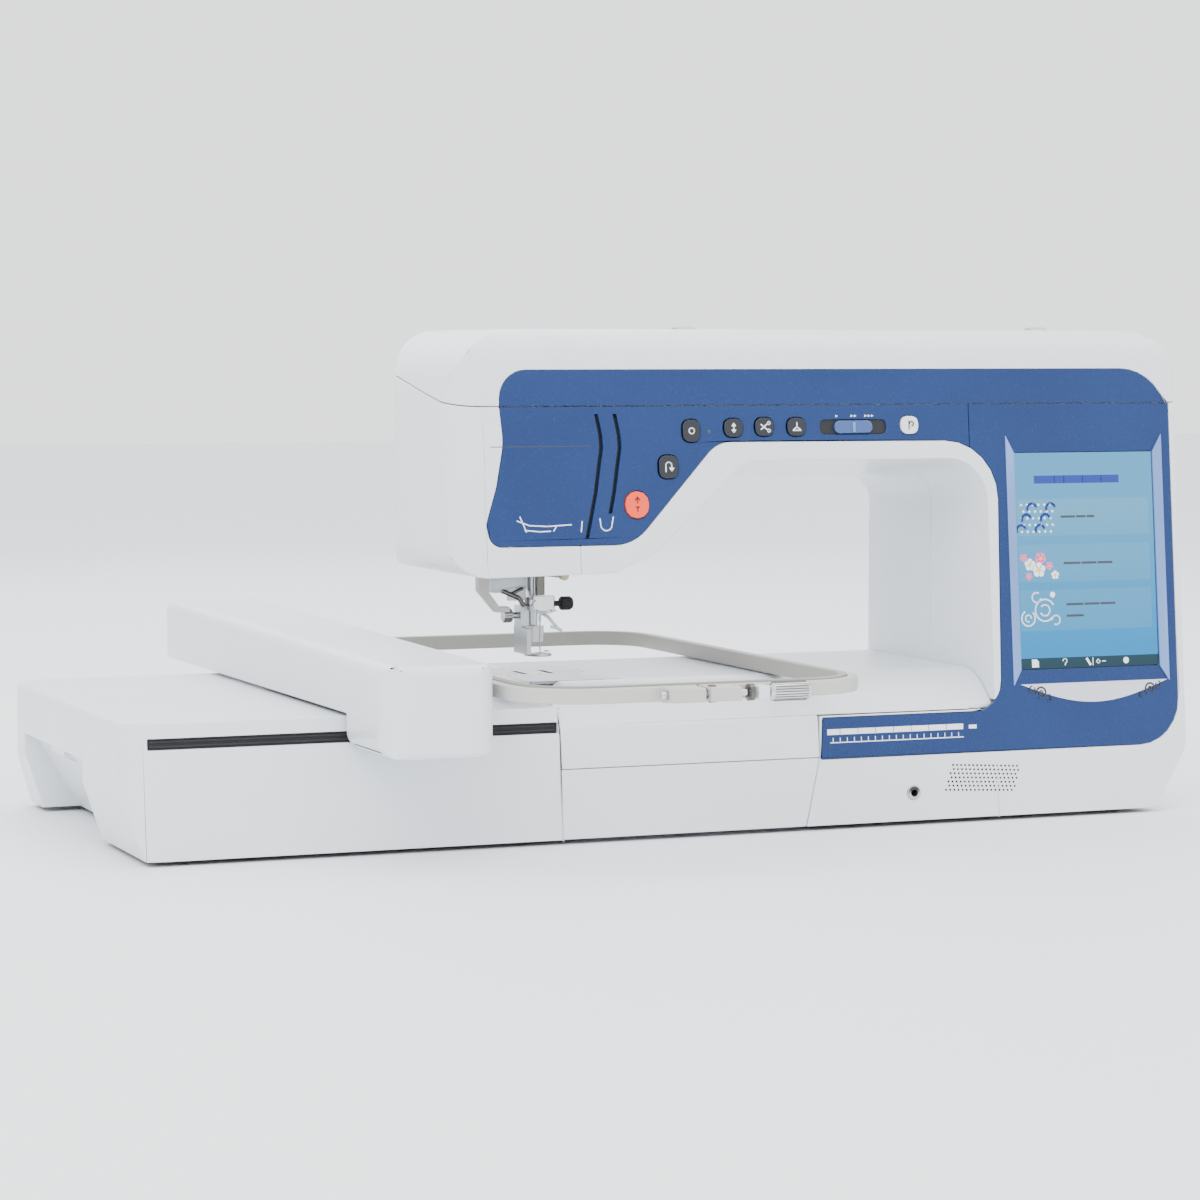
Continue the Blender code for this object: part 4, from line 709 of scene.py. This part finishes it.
bm = bmesh.new()
addPlate(bm, rectCorners(-3, 26, 187.5, 267.5), 3.2, 4.2)
makePiece("channel_shade_sheet", bm, "black", "machine", toFront)
bm = bmesh.new()
guides = (
    [(-46, 200.5), (-38, 197.5), (-26, 196.8), (-10, 197.6)],
    [(-44, 203), (-40, 193.5)],
    [(-41, 194.6), (-31, 193.6), (-24, 193.8)],
    [(-22, 193.8), (-20, 196.8)],
    [(-2.8, 199.5), (-3.6, 193)],
    arcPoints(13.4, 197.2, 3.8, 180, 360, 8),
    [(9.6, 197.2), (9.2, 201)],
    [(17.2, 197.2), (18.2, 202)],
)
for guide in guides:
    addStroke(bm, guide, 0.7, -0.1, 0.1)
makePiece("thread_path_print", bm, "whiteInk", "machine", toFront)
# A dark line along the fascia's crease: painted shade where the surface folds.
bm = bmesh.new()
addStroke(bm, [(-62, 246.2), (4, 246.2)], 0.5, -0.05, 0.1)
makePiece("fascia_crease_shade", bm, "darkInk", "machine", toFront)
print("threading path made")


# Embroidery unit: the ribbed seal in the carriage's slot
unitSeal = {"left": -284.0, "right": -24.0, "low": 69.2, "high": 75.6, "lips": 2}
bm = bmesh.new()
addPlate(bm, rectCorners(unitSeal["left"], unitSeal["right"], unitSeal["low"], unitSeal["high"]), 2.3, 3.4)
for lip in range(unitSeal["lips"]):
    z = unitSeal["low"] + 1.8 + 2.8 * lip
    addRod(bm, (unitSeal["left"] + 1, 2.2, z), (unitSeal["right"] - 1, 2.2, z), 0.9, sides=12)
makePiece("unit_slot_seal", bm, "rubber", "embroidery_unit", toFront)

# Needle area: the white block behind the bars, the levers, the thread guide and the foot's finger

bm = bmesh.new()
addBox(bm, (-31, 107, 149.5), (-5.5, 124, 162), 2.6)
addBox(bm, (-20, 105.5, 144.5), (-7, 109, 153), 1.2)
makePiece("head_block", bm, "shell", "machine")
# A black box in the head block's slot: painted shade in the gap.
bm = bmesh.new()
addBox(bm, (-24, 108.5, 161), (-7, 120, 166), 0.5)
makePiece("head_block_slot_shade", bm, "black", "machine")
bm = bmesh.new()
addRod(bm, (4.5, 118, 161.5), (21, 112, 159.6), 1.8, sides=16, edge=0.3)
addRod(bm, (21, 114, 159.6), (21, 109, 159.6), 3.1, sides=24, edge=0.7)
makePiece("threading_lever", bm, "beige", "machine")
bm = bmesh.new()
threadPath = [(-5.5, 94.8, 145), (-8, 91.6, 143.5), (-6.6, 91.6, 138.6), (3, 91.6, 137.2), (8, 91.8, 138.6)]
addWire(bm, threadPath, 0.5)
makePiece("needle_thread_guide", bm, "chrome", "needle_bar")
ribs = {"count": 18, "radius": 4.05, "thickness": 0.45, "start": 14.6, "end": 20.6}
bm = bmesh.new()
addRibs(bm, ribs, 100, 142.5)
makePiece("clamp_screw_ribs", bm, "black", "clamp_screw")
bm = bmesh.new()
addWire(bm, [(5.5, 112, 135.5), (9, 109.5, 133.5), (15.5, 107.4, 125.5), (18, 107.2, 124.2)], 1.1)
addWire(bm, [(15.5, 107.4, 125.5), (10.5, 108, 127)], 1.0)
addRod(bm, (4, 113, 137), (10, 113, 137), 2.0, sides=18, edge=0.4)
makePiece("foot_finger", bm, "shell", "presser_bar")
knurls = {"count": 16, "radius": 4.2, "thickness": 0.4, "start": -20, "end": -15}
bm = bmesh.new()
addRibs(bm, knurls, 114, 134.5)
makePiece("foot_screw_knurls", bm, "darkSteel", "presser_bar")
bm = bmesh.new()
addRod(bm, (0, 114, 138), (0, 114, 146), 5.0, sides=24, edge=0.6)
makePiece("presser_bar_collar", bm, "darkSteel", "presser_bar")
bm = bmesh.new()
addWire(bm, [(-9, 112, 127), (-9, 112, 146), (-6, 112, 150)], 0.7)
addRing(bm, 1.6, 0.35, (4.6, 100, 112.0), "Z", 20, 8)
makePiece("foot_guide_wires", bm, "steel", "presser_bar")
bm = bmesh.new()
addWire(bm, [(-24, 105, 151), (-13, 104.5, 146.5), (-9, 104.5, 141)], 1.5, 12)
addWire(bm, [(-18, 105, 149), (-10, 105, 152.5)], 1.1, 12)
makePiece("threader_bracket", bm, "darkSteel", "machine")
print("needle area made")


# Needle plate: the engraved width lines

bm = bmesh.new()
for side in (-1, 1):
    for step in range(4):
        x = side * (16 + 5 * step)
        addBox(bm, (x - 0.2, 99, 97.12), (x + 0.2, 118 - 2 * step, 97.24))
makePiece("needle_plate_marks", bm, "black", "machine")


# Hoop: the clamp's rings and nut, the screw's ridges and the latch

bm = bmesh.new()
for x, radius in ((29.0, 5.4), (54.0, 5.2)):
    ringEdge = [(3.0, -2.0), (radius, -1.6), (radius, 1.6), (3.0, 2.0)]
    addTurned(bm, ringEdge, (x, -111, 102.5), "X", 28)
makePiece("hoop_clamp_rings", bm, "darkSteel", "hoop")
bm = bmesh.new()
addBox(bm, (57.5, -115.5, 97.9), (65.5, -106.5, 106.6), 1.4)
makePiece("hoop_clamp_nut", bm, "shell", "hoop")
ridges = {"count": 22, "radius": 5.6, "thickness": 0.4, "start": 68, "end": 90}
bm = bmesh.new()
addRibs(bm, ridges, -111, 102.5)
makePiece("hoop_screw_ridges", bm, "darkSteel", "hoop_screw")
bm = bmesh.new()
addBox(bm, (-84.5, 160, 106.8), (-72, 200, 111.5), 1.2)
addBox(bm, (-83, 172, 111), (-74, 188, 113), 0.8)
makePiece("hoop_latch", bm, "hoop", "hoop")
print("hoop dressed")


# Handwheel grips, back screws and vents, inlet pins and switch marks

grips = {"count": 36, "radius": 32.2, "thickness": 1.1, "start": 431.5, "end": 441.5}
bm = bmesh.new()
addRibs(bm, grips, 134, 246, sides=8)
makePiece("handwheel_grips", bm, "grey", "upper_shaft")
# Black plates where the back vents are: painted shade in the slots.
bm = bmesh.new()
for column in range(12):
    x = 306 + 9 * column
    addPlate(bm, rectCorners(x - 1.6, x + 1.6, 30, 66, 1.5), 195.12, 194.4, segments=4)
makePiece("back_vents", bm, "black", "machine")
backScrews = ((300, 14), (414, 14), (300, 150), (414, 206), (30, 82), (150, 82), (20, 225))
bm = bmesh.new()
for x, z in backScrews:
    addTurned(bm, [(0.05, 0.55), (2.6, 0.35), (3.4, -0.5)], (x, 195, z), "Y", 24)
makePiece("back_screws", bm, "darkSteel", "machine")
# Black bars in the screw heads' slots: painted shade in the recesses.
bm = bmesh.new()
for x, z in backScrews:
    addBox(bm, (x - 1.9, 195.3, z - 0.35), (x + 1.9, 195.62, z + 0.35))
    addBox(bm, (x - 0.35, 195.3, z - 1.9), (x + 0.35, 195.62, z + 1.9))
makePiece("back_screw_slots", bm, "black", "machine")
bm = bmesh.new()
for y, z in ((127, 72.6), (141, 72.6), (134, 77.4)):
    addBox(bm, (410, y - 1.0, z - 2.0), (424, y + 1.0, z + 2.0), 0.3)
makePiece("inlet_pins", bm, "brass", "machine")
bm = bmesh.new()
addRing(bm, 2.0, 0.3, (430.2, 134, 104.5), "X", 24, 8)
addBox(bm, (429.9, 133.6, 113), (430.5, 134.4, 117.4))
makePiece("switch_marks", bm, "whiteInk", "power_switch")
bm = bmesh.new()
for x in (140, 405):
    addRod(bm, (x - 9.2, 186, 308), (x + 9.2, 186, 308), 5.0, sides=28, edge=0.8)
makePiece("handle_pin_caps", bm, "darkInk", "carry_handle")
print("back and sides dressed")


# Floor, light and camera

studio = {"floorHex": "#F4F6F8", "floorHalf": 9.0, "worldHex": "#F7F9FC", "worldStrength": 2.1}
bm = bmesh.new()
bmesh.ops.create_grid(bm, x_segments=1, y_segments=1, size=studio["floorHalf"])
floorMesh = bpy.data.meshes.new("floor")
bm.to_mesh(floorMesh)
bm.free()
floor = bpy.data.objects.new("floor", floorMesh)
scene.collection.objects.link(floor)
# Smooth painted studio floor: near white, with a barely uneven gloss.
floorLook = {"colour": studio["floorHex"], "tint": "#EFF1F4", "roughness": (0.55, 0.65), "grainMm": 30,
             "bump": 0.01, "cloudMm": 900}
floorMesh.materials.append(grained("studioFloorPaint", floorLook))

world = bpy.data.worlds.new("studio")
world.use_nodes = True
background = world.node_tree.nodes["Background"]
background.inputs["Color"].default_value = linear(studio["worldHex"])
background.inputs["Strength"].default_value = studio["worldStrength"]
scene.world = world

softLights = {
    "keyLight": {"at": (-1.3, -1.7, 1.9), "size": 1.6, "power": 34.0},
    "topLight": {"at": (0.2, 0.1, 2.2), "size": 2.2, "power": 34.0},
    "rightLight": {"at": (2.0, -0.9, 1.2), "size": 1.2, "power": 8.0},
    "backLight": {"at": (0.3, 2.2, 1.6), "size": 1.8, "power": 18.0},
}
for name, light in softLights.items():
    data = bpy.data.lights.new(name, "AREA")
    data.shape = "SQUARE"
    data.size = light["size"]
    data.energy = light["power"]
    lamp = bpy.data.objects.new(name, data)
    lamp.location = light["at"]
    lamp.rotation_euler = (Vector((0, 0, 0.15)) - Vector(light["at"])).to_track_quat("-Z", "Y").to_euler()
    scene.collection.objects.link(lamp)

view = {"lens": 105.2, "sensor": 36.0, "yawDeg": 21.8, "pitchDeg": 4.08, "at": (-802.2, -2010.1, 306.0)}
cameraData = bpy.data.cameras.new("camera")
cameraData.lens = view["lens"]
cameraData.sensor_width = view["sensor"]
cameraData.clip_end = 50.0
camera = bpy.data.objects.new("camera", cameraData)
camera.location = toWorld @ Vector(view["at"])
camera.rotation_euler = (math.radians(90 - view["pitchDeg"]), 0, math.radians(-view["yawDeg"]))
scene.collection.objects.link(camera)
bpy.context.scene.camera = camera
print("studio ready")
